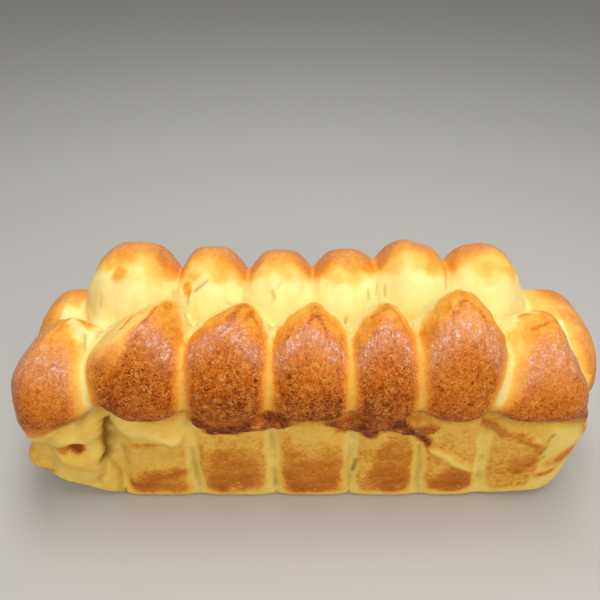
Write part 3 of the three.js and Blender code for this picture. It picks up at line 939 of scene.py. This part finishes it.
for start, end, width, tone in STREAKS:
    side_bake += (tone - side_bake) * on_front * stroke(side_places, start, end, width)
# Painted shadow under the overhanging caps: just below the rim the side is browned and shaded olive.
under_rim_shadow = near(z, rim - 1, 5) * on_side * ease(x, -90, -60) * (1 - tear)
side_bake += np.maximum(UNDER_RIM_SHADOW_LEVEL - side_bake, 0) * under_rim_shadow
# Painted shade in the seams of the sides and in the domes' creases, stronger past the crest.
seam_shade = np.where(y < 0, FRONT_SEAM_SHADE, BACK_SEAM_SHADE) * on_side * seam_band**SEAM_SHARPNESS
seam_shade *= ease(z, 3, 9) * ease(blotch, -0.4, 0.3)
crease_shade = (1 - ease(crease_mm + 0.4 * rough_edge, 0.2, 1.8)) * (1 - on_side)
crease_shade *= 0.25 + 0.35 * ease(turn, 80, 100)
painted_shade = np.max([seam_shade, crease_shade, 0.4 * under_rim_shadow], axis=0)
for start, end, width, share in PAINTED_SHADE_PLACES:
    painted_shade = np.maximum(painted_shade, share * (y < -SIDE_Y) * stroke(side_places, start, end, width))
bake = dome_bake + (side_bake - dome_bake) * on_side
print("share of the skin that is deep:", (painted_shade > 0.2).mean().round(2))

# %% [markdown]
# ## Gathered crust, facets and notches
# Where a dome turns over its crest the crust gathers in fine pleats, and behind it the skin is
# slightly faceted, as shrinking dough is. The brown ends in a low swelling. Between the back row's
# domes the skyline drops into sharp notches: their points are sunk straight down, because moving
# them along the outward direction would only widen the gap.

# %% Pleats, facets and notches
ARC_RADIUS = 38
PLEAT_SIZE, PLEAT_HEIGHT = (2.6, 9.0), 0.55
FACET_SIZE, FACET_HEIGHT = (8.0, 20.0), 1.1
SWELLING = 1.0
NOTCHES = [(-71.0, 7.0), (-31.0, 6.5), (7.6, 4.0), (84.0, 3.0)]
NOTCH_HALF, NOTCH_POWER = 10, 1.2
SLOPING_SHOULDER = dict(x=70.0, width=8.0, depth=3.4)

on_dome = 1 - on_side
arc_mm = np.radians(turn) * ARC_RADIUS
gather = ease(turn, 50, 82) * (1 - ease(turn, 104, 122)) * on_dome * in_front
pleat_places = np.column_stack([along_mm / PLEAT_SIZE[0], arc_mm / PLEAT_SIZE[1], owner * 7.0])
relief += PLEAT_HEIGHT * gather * soft_noise(pleat_places, 1.0)
facet_places = np.column_stack([along_mm / FACET_SIZE[0], arc_mm / FACET_SIZE[1], owner * 5.0 + 2.0])
faceted = ease(turn, 92, 112) * on_dome * ease(crease_mm, 0.5, 5)
relief += FACET_HEIGHT * faceted * soft_noise(facet_places, 1.0)
relief += SWELLING * near(turn - brown_end, -4, 9) * in_front * on_dome * ease(crease_mm, 1, 6)
sink = SLOPING_SHOULDER["depth"] * near(x, SLOPING_SHOULDER["x"], SLOPING_SHOULDER["width"])
for notch_x, depth in NOTCHES:
    sink += depth * np.maximum(1 - np.abs(x - notch_x) / NOTCH_HALF, 0) ** NOTCH_POWER
sink *= ease(turn, 10, 45) * (1 - ease(turn, 86, 140)) * on_dome * ~in_front
print("deepest notch, mm:", sink.max().round(1))

# %% [markdown]
# ## Dimples and stains
# Bubbles and touches of the tin left round marks: a dark dimple with a raised ring at the left,
# flat stains on the pale dough, a low bump and a hollow at the two ends. A painted mask could hold
# them, but a short table can be read and changed; a mark with no ring has a more ragged edge.

# %% Dimples and stains
DIMPLES = [
    dict(at=(-117, -51, 46.5), radius=7.5, depth=2.6, ring=0.9, bake=0.91),
    dict(at=(-124, -51, 46), radius=6.0, depth=0.8, ring=0.0, bake=0.6),
    dict(at=(-110.8, -13.4, 99.8), radius=7.0, depth=0.5, ring=0.0, bake=0.52),
    dict(at=(-97.5, 10.5, 114), radius=7.5, depth=0.2, ring=0.0, bake=0.36),
    dict(at=(20, 14, 110), radius=9.0, depth=0.3, ring=0.0, bake=0.24),
    dict(at=(-63, 11.5, 108), radius=4.5, depth=0.2, ring=0.0, bake=0.42),
    dict(at=(-61.2, 8.5, 105.6), radius=3.5, depth=0.2, ring=0.0, bake=0.46),
    dict(at=(-32.4, -34.6, 118), radius=6.0, depth=0.2, ring=0.0, bake=0.82),
    dict(at=(7.7, -31.3, 117), radius=5.0, depth=0.2, ring=0.0, bake=0.82),
    dict(at=(115.5, -17, 107), radius=6.0, depth=0.3, ring=0.0, bake=0.46),
    dict(at=(141, -51, 72), radius=7.0, depth=-1.8, ring=0.0, bake=0.0),
    dict(at=(-143.5, -52, 62), radius=9.0, depth=3.0, ring=0.0, bake=0.0),
]
RING_PLACE, RING_WIDTH, DIMPLE_WIDTH = 1.45, 0.4, 0.8

for spec in DIMPLES:
    flat_stain = spec["ring"] == 0
    distance = np.linalg.norm(points - spec["at"], axis=1) / spec["radius"]
    distance += (0.55 if flat_stain else 0.2) * rough_edge
    hollow = near(distance, 0, DIMPLE_WIDTH)
    relief += spec["ring"] * near(distance, RING_PLACE, RING_WIDTH) - spec["depth"] * hollow
    stain = ease(hollow, 0.0, 0.9) if flat_stain else ease(hollow, 0.2, 0.75)
    bake = np.maximum(bake, spec["bake"] * stain)
print("dimples and stains:", len(DIMPLES))

# %% [markdown]
# ## Wrinkle lines
# The pale dough of the valley is creased with short wrinkles, sunk a little and tinted greenish as
# painted shade, and dark lines run down from the peaks where the crust folded. Cutting them as edges
# would break the even grid, so they are strokes too. The ones that show most are drawn from place to
# place on the form; others are scattered over the pale skin by a seeded draw, each running roughly
# uphill.

# %% Wrinkle lines
PALE_LINES = [
    [(-71, 16.3, 102.9), (-70.5, 11.2, 98.2)],
    [(-59.5, -15.8, 107.1), (-57.2, -19.2, 101.9)],
    [(-61.2, 7.1, 104.4), (-61.5, 4.4, 100.3)],
    [(-50.1, 10, 111.3), (-54.3, 7.7, 108.6), (-57.9, 6.9, 106.3)],
    [(-34.2, -19.8, 115.9), (-40.4, -26, 114.6)],
    [(-31.2, 18.2, 102.2), (-31.2, 11.5, 97.3)],
    [(-15.3, 6.9, 105.9), (-14.7, 4.1, 102.5)],
    [(25.6, -0.7, 94.5), (24.6, -2.3, 90.9)],
    [(38, 10.6, 104.7), (38.2, 7.3, 100.9)],
    [(43.3, 18, 103.7), (43, 12.8, 100.5)],
    [(46.8, 14.2, 105.6), (46.7, 10.5, 101.4)],
    [(80.8, 15.7, 109.2), (80.4, 10.7, 105.2)],
    [(-108, -25.4, 101.6), (-105.9, -36, 99.3)],
]
PEAK_LINES = [
    [(-71.2, -22.6, 117.4), (-73.2, -34.9, 117.8), (-76.5, -39.3, 116.2)],
    [(-86.5, -34, 112.9), (-84.2, -26.1, 113)],
    [(-27.9, -21.7, 118.1), (-31, -30.3, 118.7), (-34.1, -38, 116.8), (-40, -42.2, 114.1)],
    [(-27.7, -21.7, 118.1), (-24, -26.1, 116.4), (-20.5, -30.5, 111.2)],
    [(-22.3, -23.6, 114.6), (-25.8, -32, 116.6)],
    [(7.8, -28.4, 117), (1, -38.1, 114.3), (-7.6, -39.7, 109.8)],
    [(8.7, -29.7, 116.7), (12.6, -37.4, 113.8), (15.8, -44.7, 109.2)],
    [(34.8, -27.2, 114.2), (41.8, -27.4, 118.6)],
    [(44.3, -26.8, 118.8), (48.1, -29.3, 116.4), (50.1, -37.1, 113.9)],
    [(35, -39.6, 114), (40.6, -39.8, 115.9)],
    [(77.5, -29.9, 125.8), (72.1, -37.8, 122.1), (70.8, -45.6, 117)],
    [(78, -30, 125.8), (84.8, -35.2, 123.1), (88.5, -42, 118.9)],
    [(114.9, -30.1, 109.3), (121, -28, 110.9), (127.6, -25.1, 108.9)],
]
print("lines on the pale dough and at the peaks:", len(PALE_LINES), len(PEAK_LINES))

# %% Draw the wrinkles
# A pale line's and a loose wrinkle's tint is painted shade in the wrinkle; a peak line's tint raises its
# browning.
PALE_LINE = dict(width=0.9, depth=0.5, tint=0.9)
PEAK_LINE = dict(width=1.1, depth=0.7, level=0.9, tint=0.7)
LOOSE_WRINKLE = dict(count=34, width=0.9, depth=0.4, tint=0.7)

wavy_points = points + 0.8 * rough_edge[:, None]


def drawn(line, width):
    """1 along a line through several places, falling to 0 beside it."""
    return np.max([stroke(wavy_points, *ends, width) for ends in zip(line, line[1:])], axis=0)


for line in PALE_LINES:
    along_line = drawn(line, PALE_LINE["width"])
    relief -= PALE_LINE["depth"] * along_line
    painted_shade = np.maximum(painted_shade, PALE_LINE["tint"] * along_line)
for line in PEAK_LINES:
    along_line = drawn(line, PEAK_LINE["width"])
    relief -= PEAK_LINE["depth"] * along_line
    bake += np.maximum(PEAK_LINE["level"] - bake, 0) * PEAK_LINE["tint"] * along_line
draw = np.random.default_rng(23)
pale_places = np.flatnonzero((on_side < 0.1) & (turn > 92) & (turn < 150) & (amber_share < 0.4))
for place in draw.choice(pale_places, LOOSE_WRINKLE["count"], replace=False):
    start = points[place]
    uphill = np.array([0, 0, 1]) - outward[place] * outward[place, 2]
    sideways = np.cross(outward[place], uphill)
    run = uphill / np.linalg.norm(uphill) + draw.uniform(-0.8, 0.8) * sideways
    end = start + draw.uniform(3, 8) * run
    along_line = drawn([start, end], LOOSE_WRINKLE["width"]) * draw.uniform(0.2, 0.6)
    relief -= LOOSE_WRINKLE["depth"] * along_line
    painted_shade = np.maximum(painted_shade, LOOSE_WRINKLE["tint"] * along_line)
print("relief from", relief.min().round(1), "to", relief.max().round(1), "mm")

# %% [markdown]
# ## Write the skin and what it knows
# The points move at last, all at once, and less near the foot so that the resting face stays flat.
# The numbers worked out above become attributes of the mesh, where nodes can read them. Vertex
# colours could carry only colour; plain numbers can drive colour, gloss and relief alike.

# %% Write the skin and what it knows
FOOT_ROOM = (0.5, 6)

points += outward * (relief * ease(z, *FOOT_ROOM))[:, None]
points[:, 2] -= sink
finished = points - (MIDDLE_X, 0, 0)
loaf.data.vertices.foreach_set("co", (finished / MM_PER_METRE).ravel())
numbers = dict(
    bake=np.clip(bake, 0, 1.1),
    tin_side=on_side,
    tear=tear * on_side,
    crack_and_shade=crack_and_shade,
    painted_shade=painted_shade,
    glaze_and_painted_sheen=glaze_and_painted_sheen * on_dome,
    gather=gather,
)
for name, values in numbers.items():
    store = loaf.data.attributes.new(name, "FLOAT", "POINT")
    store.data.foreach_set("value", np.asarray(values, np.float32))
chart = loaf.data.attributes.new("chart", "FLOAT_VECTOR", "POINT")
chart_rows = np.column_stack([along_mm + 60 * owner, arc_mm, np.zeros(len(points))]) / MM_PER_METRE
chart.data.foreach_set("vector", chart_rows.astype(np.float32).ravel())
loaf.data.update()
print("kept on the skin:", [store.name for store in loaf.data.attributes])

# %% [markdown]
# ## The crust's finish
# A baked crust runs from pale yellow through gold and chestnut to nearly black, and that one number,
# how baked it is, is already on every point. Image textures could colour it, but would not be
# adjustable, so the material is built from nodes. A few helpers keep the node building readable.

# %% Helpers for node trees
def add(tree, kind, inputs=None, **settings):
    """Adds a node, with its settings, and its inputs set or linked."""
    node = tree.nodes.new(kind)
    for name, value in settings.items():
        setattr(node, name, value)
    for key, value in (inputs or {}).items():
        if isinstance(value, bpy.types.NodeSocket):
            tree.links.new(value, node.inputs[key])
        else:
            node.inputs[key].default_value = value
    return node


def reckon(tree, operation, first, second=0.0, third=0.0):
    """A Math node's result."""
    return add(tree, "ShaderNodeMath", {0: first, 1: second, 2: third}, operation=operation).outputs[0]


def product(tree, first, *others):
    """Several numbers multiplied with each other."""
    for other in others:
        first = reckon(tree, "MULTIPLY", first, other)
    return first


def between(tree, value, low, high):
    """0 below low, 1 above high; with low above high it falls instead."""
    node = add(tree, "ShaderNodeMapRange", {"Value": value, "From Min": low, "From Max": high})
    return node.outputs["Result"]


def colour(red, green, blue):
    """A screen colour from 0 to 255 as the linear colour that nodes use."""
    screen = np.array([red, green, blue]) / 255
    linear = np.where(screen <= 0.04045, screen / 12.92, ((screen + 0.055) / 1.055) ** 2.4)
    return (*linear.tolist(), 1.0)


def ramp(tree, level, stops):
    """A colour ramp through (level, colour) stops."""
    node = add(tree, "ShaderNodeValToRGB", {0: level})
    elements = node.color_ramp.elements
    while len(elements) < len(stops):
        elements.new(0.5)
    for element, (place, tint) in zip(elements, stops):
        element.position = place
        element.color = tint
    return node.outputs["Color"]


def tinted(tree, share, base, tint):
    """A base colour turned to a tint by a share."""
    mixing = {0: share, 6: base, 7: tint}
    return add(tree, "ShaderNodeMix", mixing, data_type="RGBA").outputs[2]


print("grey 128 as a linear colour:", colour(128, 128, 128)[0])

# %% [markdown]
# ## The crust's patterns
# Up close the brown is freckled: crumpled dark grains with golden glints between them, pleats across
# the crests, flecks on the sides. The golden glints are painted highlights, a light tint laid on the
# crinkles where a glossy crust catches the light. Each is a Noise Texture in the loaf's own Object
# coordinates, or, for the pleats, in the chart kept on the skin, so that they follow each ball.

# %% The crust's patterns
crust = bpy.data.materials.new("baked_crust")
crust.use_nodes = True
nodes = crust.node_tree
nodes.nodes.clear()
place = add(nodes, "ShaderNodeTexCoord").outputs["Object"]


def kept_number(name, output="Fac"):
    """A number kept on the skin, for the material."""
    return add(nodes, "ShaderNodeAttribute", attribute_name=name).outputs[output]


def grain(scale, detail, roughness, where=place, warp=0.0):
    """Noise from about -1 to 1, crumpled by a warp."""
    settings = {"Vector": where, "Scale": scale, "Detail": detail, "Roughness": roughness, "Distortion": warp}
    noise = add(nodes, "ShaderNodeTexNoise", settings)
    return reckon(nodes, "MULTIPLY_ADD", noise.outputs["Fac"], 4.0, -2.0)


def stretched_grain(where, scale, detail, roughness):
    """Noise in coordinates stretched by a scale along each axis."""
    mapping = add(nodes, "ShaderNodeMapping", {"Vector": where, "Scale": scale})
    return grain(1.0, detail, roughness, mapping.outputs["Vector"])


bake_level = kept_number("bake")
tin_side = kept_number("tin_side")
off_tin = reckon(nodes, "SUBTRACT", 1.0, tin_side)
browned = between(nodes, bake_level, 0.28, 0.62)
pebbly = product(nodes, browned, reckon(nodes, "MULTIPLY_ADD", off_tin, 0.8, 0.2))
freckles = grain(420.0, 3.0, 0.6)
clouds = grain(60.0, 3.0, 0.55)
pebbles = grain(600.0, 3.0, 0.65, warp=0.7)
# The crinkles make bump, and they are also where the painted golden glints go.
crinkles = between(nodes, reckon(nodes, "ABSOLUTE", grain(420.0, 2.0, 0.6, warp=1.0)), 0.02, 0.24)
crinkles = reckon(nodes, "SUBTRACT", 1.0, crinkles)
crinkles = product(nodes, crinkles, between(nodes, grain(300.0, 2.0, 0.6), -0.5, 0.5))
wrinkles = stretched_grain(kept_number("chart", "Vector"), (620.0, 130.0, 1.0), 2.0, 0.5)
gathered_wrinkles = product(nodes, wrinkles, kept_number("gather"))
flecks = stretched_grain(place, (260.0, 260.0, 620.0), 2.0, 0.5)
smears = stretched_grain(place, (150.0, 60.0, 60.0), 3.0, 0.6)
print("patterns so far:", len(nodes.nodes), "nodes")

# %% [markdown]
# ## The crust's colour
# Two ramps turn the browning into colour, one for the shiny domes and one for the duller sides that
# the tin pressed. The patterns push the browning up and down a little before it is looked up, so they
# keep to the crust's own colours. Tints for what is not browning are laid over it one after another:
# smears and flecks of the dough's own colour, then painted light and shade, namely golden glints, a
# pinkish sheen and white glitter as painted highlights, and an olive tint and a dark one as painted
# shade in creases, seams, hollows, cracks and the groove.

# %% The crust's colours
DOME_STOPS = [
    (0.0, colour(251, 234, 164)),
    (0.12, colour(250, 222, 136)),
    (0.24, colour(249, 198, 96)),
    (0.36, colour(245, 172, 66)),
    (0.5, colour(234, 146, 44)),
    (0.65, colour(215, 121, 26)),
    (0.8, colour(192, 97, 10)),
    (0.92, colour(162, 71, 4)),
    (1.0, colour(118, 46, 2)),
]
SIDE_STOPS = [
    (0.0, colour(251, 220, 118)),
    (0.12, colour(249, 205, 90)),
    (0.34, colour(243, 183, 72)),
    (0.5, colour(227, 152, 50)),
    (0.62, colour(210, 124, 32)),
    (0.8, colour(176, 88, 26)),
    (0.92, colour(140, 62, 14)),
    (1.0, colour(104, 42, 8)),
]
SMEAR = colour(238, 196, 104)
FLECK = colour(240, 190, 110)
# A painted highlight: golden glints on the crinkles.
PAINTED_GLINT = colour(250, 172, 78)
# Painted highlights: a pinkish sheen and white glitter on the glaze's arches.
PAINTED_SHEEN = colour(220, 154, 122)
PAINTED_GLITTER = colour(252, 226, 212)
# Painted shade: an olive tint in creases, seams, hollows and wrinkles.
PAINTED_SHADE_COLOUR = colour(174, 138, 62)
# Painted shade: a dark tint in the cracks and the groove.
CRACK_SHADE_COLOUR = colour(132, 90, 10)
print("stops of the domes' and the sides' ramp:", len(DOME_STOPS), len(SIDE_STOPS))

# %% Lay the colours over each other
torn = kept_number("tear")
glaze_and_sheen = kept_number("glaze_and_painted_sheen")
golden = between(nodes, bake_level, 0.15, 0.35)
golden = product(nodes, golden, between(nodes, bake_level, 0.62, 0.42), tin_side)
freckled = reckon(nodes, "MULTIPLY_ADD", tin_side, 0.05, 0.025)
freckled = reckon(nodes, "MULTIPLY_ADD", golden, 0.13, freckled)
freckled = reckon(nodes, "MULTIPLY_ADD", pebbly, 0.05, freckled)
pushes = [
    (product(nodes, pebbles, pebbly), 0.25),
    (product(nodes, pebbles, torn), 0.16),
    (freckles, freckled),
    (clouds, 0.035),
    (gathered_wrinkles, 0.06),
]
level = bake_level
for pattern, weight in pushes:
    level = reckon(nodes, "MULTIPLY_ADD", pattern, weight, level)

pale = between(nodes, bake_level, 0.34, 0.1)
# The painted sheen and glitter follow the glaze's arches, broken up by wrinkles and grain.
painted_sheen = product(nodes, glaze_and_sheen, between(nodes, wrinkles, -0.9, 0.7))
painted_glitter = between(nodes, grain(430.0, 2.0, 0.6, warp=1.0), 0.2, 0.7)
tints = [
    (product(nodes, between(nodes, smears, 0.1, 0.9), pale, 0.3), SMEAR),
    (product(nodes, between(nodes, flecks, 0.6, 0.9), tin_side, browned, 0.6), FLECK),
    # A painted highlight: golden glints on the crinkles.
    (product(nodes, crinkles, pebbly, 0.85), PAINTED_GLINT),
    # Painted highlights: a pinkish sheen and white glitter on the glaze's arches.
    (product(nodes, painted_sheen, 0.55), PAINTED_SHEEN),
    (product(nodes, painted_glitter, painted_sheen, 0.9), PAINTED_GLITTER),
    # Painted shade: the olive tint in deep places and the dark tint in cracks and the groove.
    (product(nodes, kept_number("painted_shade"), 0.8), PAINTED_SHADE_COLOUR),
    (product(nodes, kept_number("crack_and_shade"), 0.95), CRACK_SHADE_COLOUR),
]
skin_colour = tinted(nodes, tin_side, ramp(nodes, level, DOME_STOPS), ramp(nodes, level, SIDE_STOPS))
for share, tint in tints:
    skin_colour = tinted(nodes, share, skin_colour, tint)
print("tints over the two ramps:", len(tints))

# %% [markdown]
# ## The crust's gloss
# Browned crust is smoother than pale or pressed dough, and only the egg wash really shines. Roughness
# follows the browning, and a clear coat, weighted by the glaze, carries the shine with a bump of its
# own. The finest grain is bump rather than relief, since it is smaller than the grid's squares.

# %% The crust's gloss and fine bump
SHINE_LEVEL, GLAZE_ROUGHNESS = 0.14, 0.22
DULLEST, SHINE_SMOOTHING, TEAR_SMOOTHING = 0.58, -0.28, -0.12

shine = product(nodes, between(nodes, bake_level, 0.25, 0.6), off_tin)
dullness = reckon(nodes, "MULTIPLY_ADD", shine, SHINE_SMOOTHING, DULLEST)
dullness = reckon(nodes, "MULTIPLY_ADD", freckles, 0.03, dullness)
dullness = reckon(nodes, "MULTIPLY_ADD", torn, TEAR_SMOOTHING, dullness)
rise = product(nodes, freckles, reckon(nodes, "MULTIPLY_ADD", pebbly, 0.3, 0.2))
rise = reckon(nodes, "MULTIPLY_ADD", gathered_wrinkles, 0.5, rise)
rise = reckon(nodes, "MULTIPLY_ADD", product(nodes, crinkles, pebbly), 0.7, rise)
bump = add(nodes, "ShaderNodeBump", {"Strength": 0.6, "Distance": 0.0004, "Height": rise})
glaze_rise = reckon(nodes, "ADD", wrinkles, crinkles)
glaze_bump = add(nodes, "ShaderNodeBump", {"Strength": 0.8, "Distance": 0.0007, "Height": glaze_rise})
finish = {
    "Base Color": skin_colour,
    "Roughness": dullness,
    "Specular IOR Level": SHINE_LEVEL,
    "Coat Weight": glaze_and_sheen,
    "Coat Roughness": GLAZE_ROUGHNESS,
    "Coat Normal": glaze_bump.outputs["Normal"],
    "Normal": bump.outputs["Normal"],
}
surface = add(nodes, "ShaderNodeBsdfPrincipled", finish)
add(nodes, "ShaderNodeOutputMaterial", {"Surface": surface.outputs["BSDF"]})
print("nodes in the crust material:", len(nodes.nodes))

# %% [markdown]
# ## The crust's relief
# Up close a crust is never smooth: it swells and sinks by a fraction of a millimetre, blisters
# finely where it is brown, and is ragged where it tore. That follows the surface, so it is a job for
# Geometry Nodes: noise pushes each point along its normal, by as much as the numbers kept on the
# skin allow, and the resting face stays flat.

# %% The relief's inputs
RELIEF_INPUTS = [
    ("Swell Height", "NodeSocketFloat", 0.0013),
    ("Swell Scale", "NodeSocketFloat", 75.0),
    ("Blister Height", "NodeSocketFloat", 0.0009),
    ("Blister Scale", "NodeSocketFloat", 330.0),
    ("Tear Height", "NodeSocketFloat", 0.003),
    ("Tear Scale", "NodeSocketFloat", 240.0),
    ("Seed", "NodeSocketFloat", 3.0),
    ("Crust", "NodeSocketMaterial", crust),
]

group = bpy.data.node_groups.new("crust_relief", "GeometryNodeTree")
group.interface.new_socket("Geometry", in_out="INPUT", socket_type="NodeSocketGeometry")
group.interface.new_socket("Geometry", in_out="OUTPUT", socket_type="NodeSocketGeometry")
identifiers = {}
for name, kind, _ in RELIEF_INPUTS:
    socket = group.interface.new_socket(name, in_out="INPUT", socket_type=kind)
    identifiers[name] = socket.identifier
print("inputs of the relief:", list(identifiers))

# %% The relief's nodes
FLAT_FOOT = (0.001, 0.006)

given = add(group, "NodeGroupInput").outputs


def kept(name):
    """A number kept on the skin, for the relief."""
    node = add(group, "GeometryNodeInputNamedAttribute", {"Name": name}, data_type="FLOAT")
    return node.outputs["Attribute"]


def push(name, detail):
    """Noise of a named scale, as a rise of up to about half its named height either way."""
    settings = {"W": given["Seed"], "Scale": given[name + " Scale"], "Detail": detail}
    noise = add(group, "ShaderNodeTexNoise", settings, noise_dimensions="4D")
    return product(group, reckon(group, "SUBTRACT", noise.outputs["Fac"], 0.5), given[name + " Height"])


blister = product(group, push("Blister", 2.0), between(group, kept("bake"), 0.3, 0.8))
ragged = product(group, push("Tear", 3.0), kept("tear"))
rise = reckon(group, "ADD", reckon(group, "ADD", push("Swell", 1.0), blister), ragged)
position = add(group, "GeometryNodeInputPosition").outputs[0]
height_above = add(group, "ShaderNodeSeparateXYZ", {0: position}).outputs["Z"]
rise = product(group, rise, between(group, height_above, *FLAT_FOOT))
normal = add(group, "GeometryNodeInputNormal").outputs[0]
offset = add(group, "ShaderNodeVectorMath", {0: normal, "Scale": rise}, operation="SCALE").outputs[0]
skin = add(group, "GeometryNodeSetPosition", {"Geometry": given["Geometry"], "Offset": offset}).outputs[0]
skin = add(group, "GeometryNodeSetShadeSmooth", {"Geometry": skin}).outputs[0]
skin = add(group, "GeometryNodeRealizeInstances", {"Geometry": skin}).outputs[0]
skin = add(group, "GeometryNodeSetMaterial", {"Geometry": skin, "Material": given["Crust"]}).outputs[0]
add(group, "NodeGroupOutput", {"Geometry": skin})
print("nodes in the relief:", len(group.nodes))

# %% Put the relief on the loaf
relief_modifier = loaf.modifiers.new("crust relief", "NODES")
relief_modifier.node_group = group
for name, _, value in RELIEF_INPUTS:
    relief_modifier[identifiers[name]] = value
make_plain(loaf)
triangles = sum(len(face.vertices) - 2 for face in loaf.data.polygons)
print("triangles in the finished loaf:", triangles, "materials:", [slot.name for slot in loaf.data.materials])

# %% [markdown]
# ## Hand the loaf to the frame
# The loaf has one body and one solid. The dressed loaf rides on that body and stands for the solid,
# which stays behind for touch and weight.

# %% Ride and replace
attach(loaf, "root")
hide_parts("loaf")
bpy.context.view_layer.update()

# %% [markdown]
# ## A floor to stand on
# A pale floor shows the loaf's outline and throws some light back up under its overhanging domes.
# One large square is enough; it belongs to the stage and not to the part.

# %% A plain pale floor
FLOOR_HALF = 6.0
CORNERS = ((-1, -1), (1, -1), (1, 1), (-1, 1))

floor_mesh = bpy.data.meshes.new("floor")
floor_mesh.from_pydata([(a * FLOOR_HALF, b * FLOOR_HALF, 0) for a, b in CORNERS], [], [(0, 1, 2, 3)])
floor = bpy.data.objects.new("floor", floor_mesh)
bpy.context.scene.collection.objects.link(floor)
floor_finish = bpy.data.materials.new("pale_floor")
floor_finish.use_nodes = True
floor_surface = floor_finish.node_tree.nodes["Principled BSDF"]
floor_surface.inputs["Base Color"].default_value = colour(190, 188, 184)
floor_surface.inputs["Roughness"].default_value = 0.8
floor_mesh.materials.append(floor_finish)
print("floor, m across:", 2 * FLOOR_HALF)

# %% [markdown]
# ## Soft studio light
# A broad light overhead leaves a soft sheen along the tops of the domes, and a larger one in front
# lights the side that sat in the tin. A point light would make hard little glints instead, and a
# bright sky alone would flatten the creases, so the sky only lifts the shadows.

# %% Soft studio light
LIGHTS = [
    dict(name="overhead", place=(0.06, 0.0, 0.95), aim=(0, -0.03, 0.08), size=(0.9, 0.36), power=6.2),
    dict(name="front_fill", place=(0.2, -0.97, 0.85), aim=(0, 0, 0.06), size=(1.3, 0.7), power=6.7),
]
SKY_COLOUR, SKY_STRENGTH = (1.0, 0.98, 0.95, 1.0), 0.3


def soft_light(name, place, aim, size, power):
    """A rectangular light at a place, turned towards an aim."""
    lamp = bpy.data.lights.new(name, "AREA")
    lamp.shape = "RECTANGLE"
    lamp.size, lamp.size_y = size
    lamp.energy = power
    holder = bpy.data.objects.new(name, lamp)
    bpy.context.scene.collection.objects.link(holder)
    holder.location = place
    holder.rotation_euler = (Vector(place) - Vector(aim)).to_track_quat("Z", "Y").to_euler()


for light in LIGHTS:
    soft_light(**light)
world = bpy.data.worlds.new("room")
bpy.context.scene.world = world
world.use_nodes = True
sky = world.node_tree.nodes["Background"]
sky.inputs["Color"].default_value = SKY_COLOUR
sky.inputs["Strength"].default_value = SKY_STRENGTH
bpy.context.scene.view_settings.view_transform = "Standard"

# %% [markdown]
# ## The camera
# The view looks down on the loaf's front by about 35 degrees, from close by, so the front row looms a
# little over the back one. A longer lens from farther off would flatten that.

# %% The camera
PITCH_DOWN = np.radians(35)
LENS = SENSOR_WIDTH = 36.0
CAMERA_PLACE = (-MIDDLE_X / MM_PER_METRE, -0.2634, 0.2898)

camera_data = bpy.data.cameras.new("photo_view")
camera_data.lens = LENS
camera_data.sensor_width = SENSOR_WIDTH
camera_data.clip_start = 0.01
camera = bpy.data.objects.new("photo_view", camera_data)
bpy.context.scene.collection.objects.link(camera)
camera.location = CAMERA_PLACE
camera.rotation_euler = (np.pi / 2 - PITCH_DOWN, 0, 0)
bpy.context.scene.camera = camera
print("camera at, m:", CAMERA_PLACE)
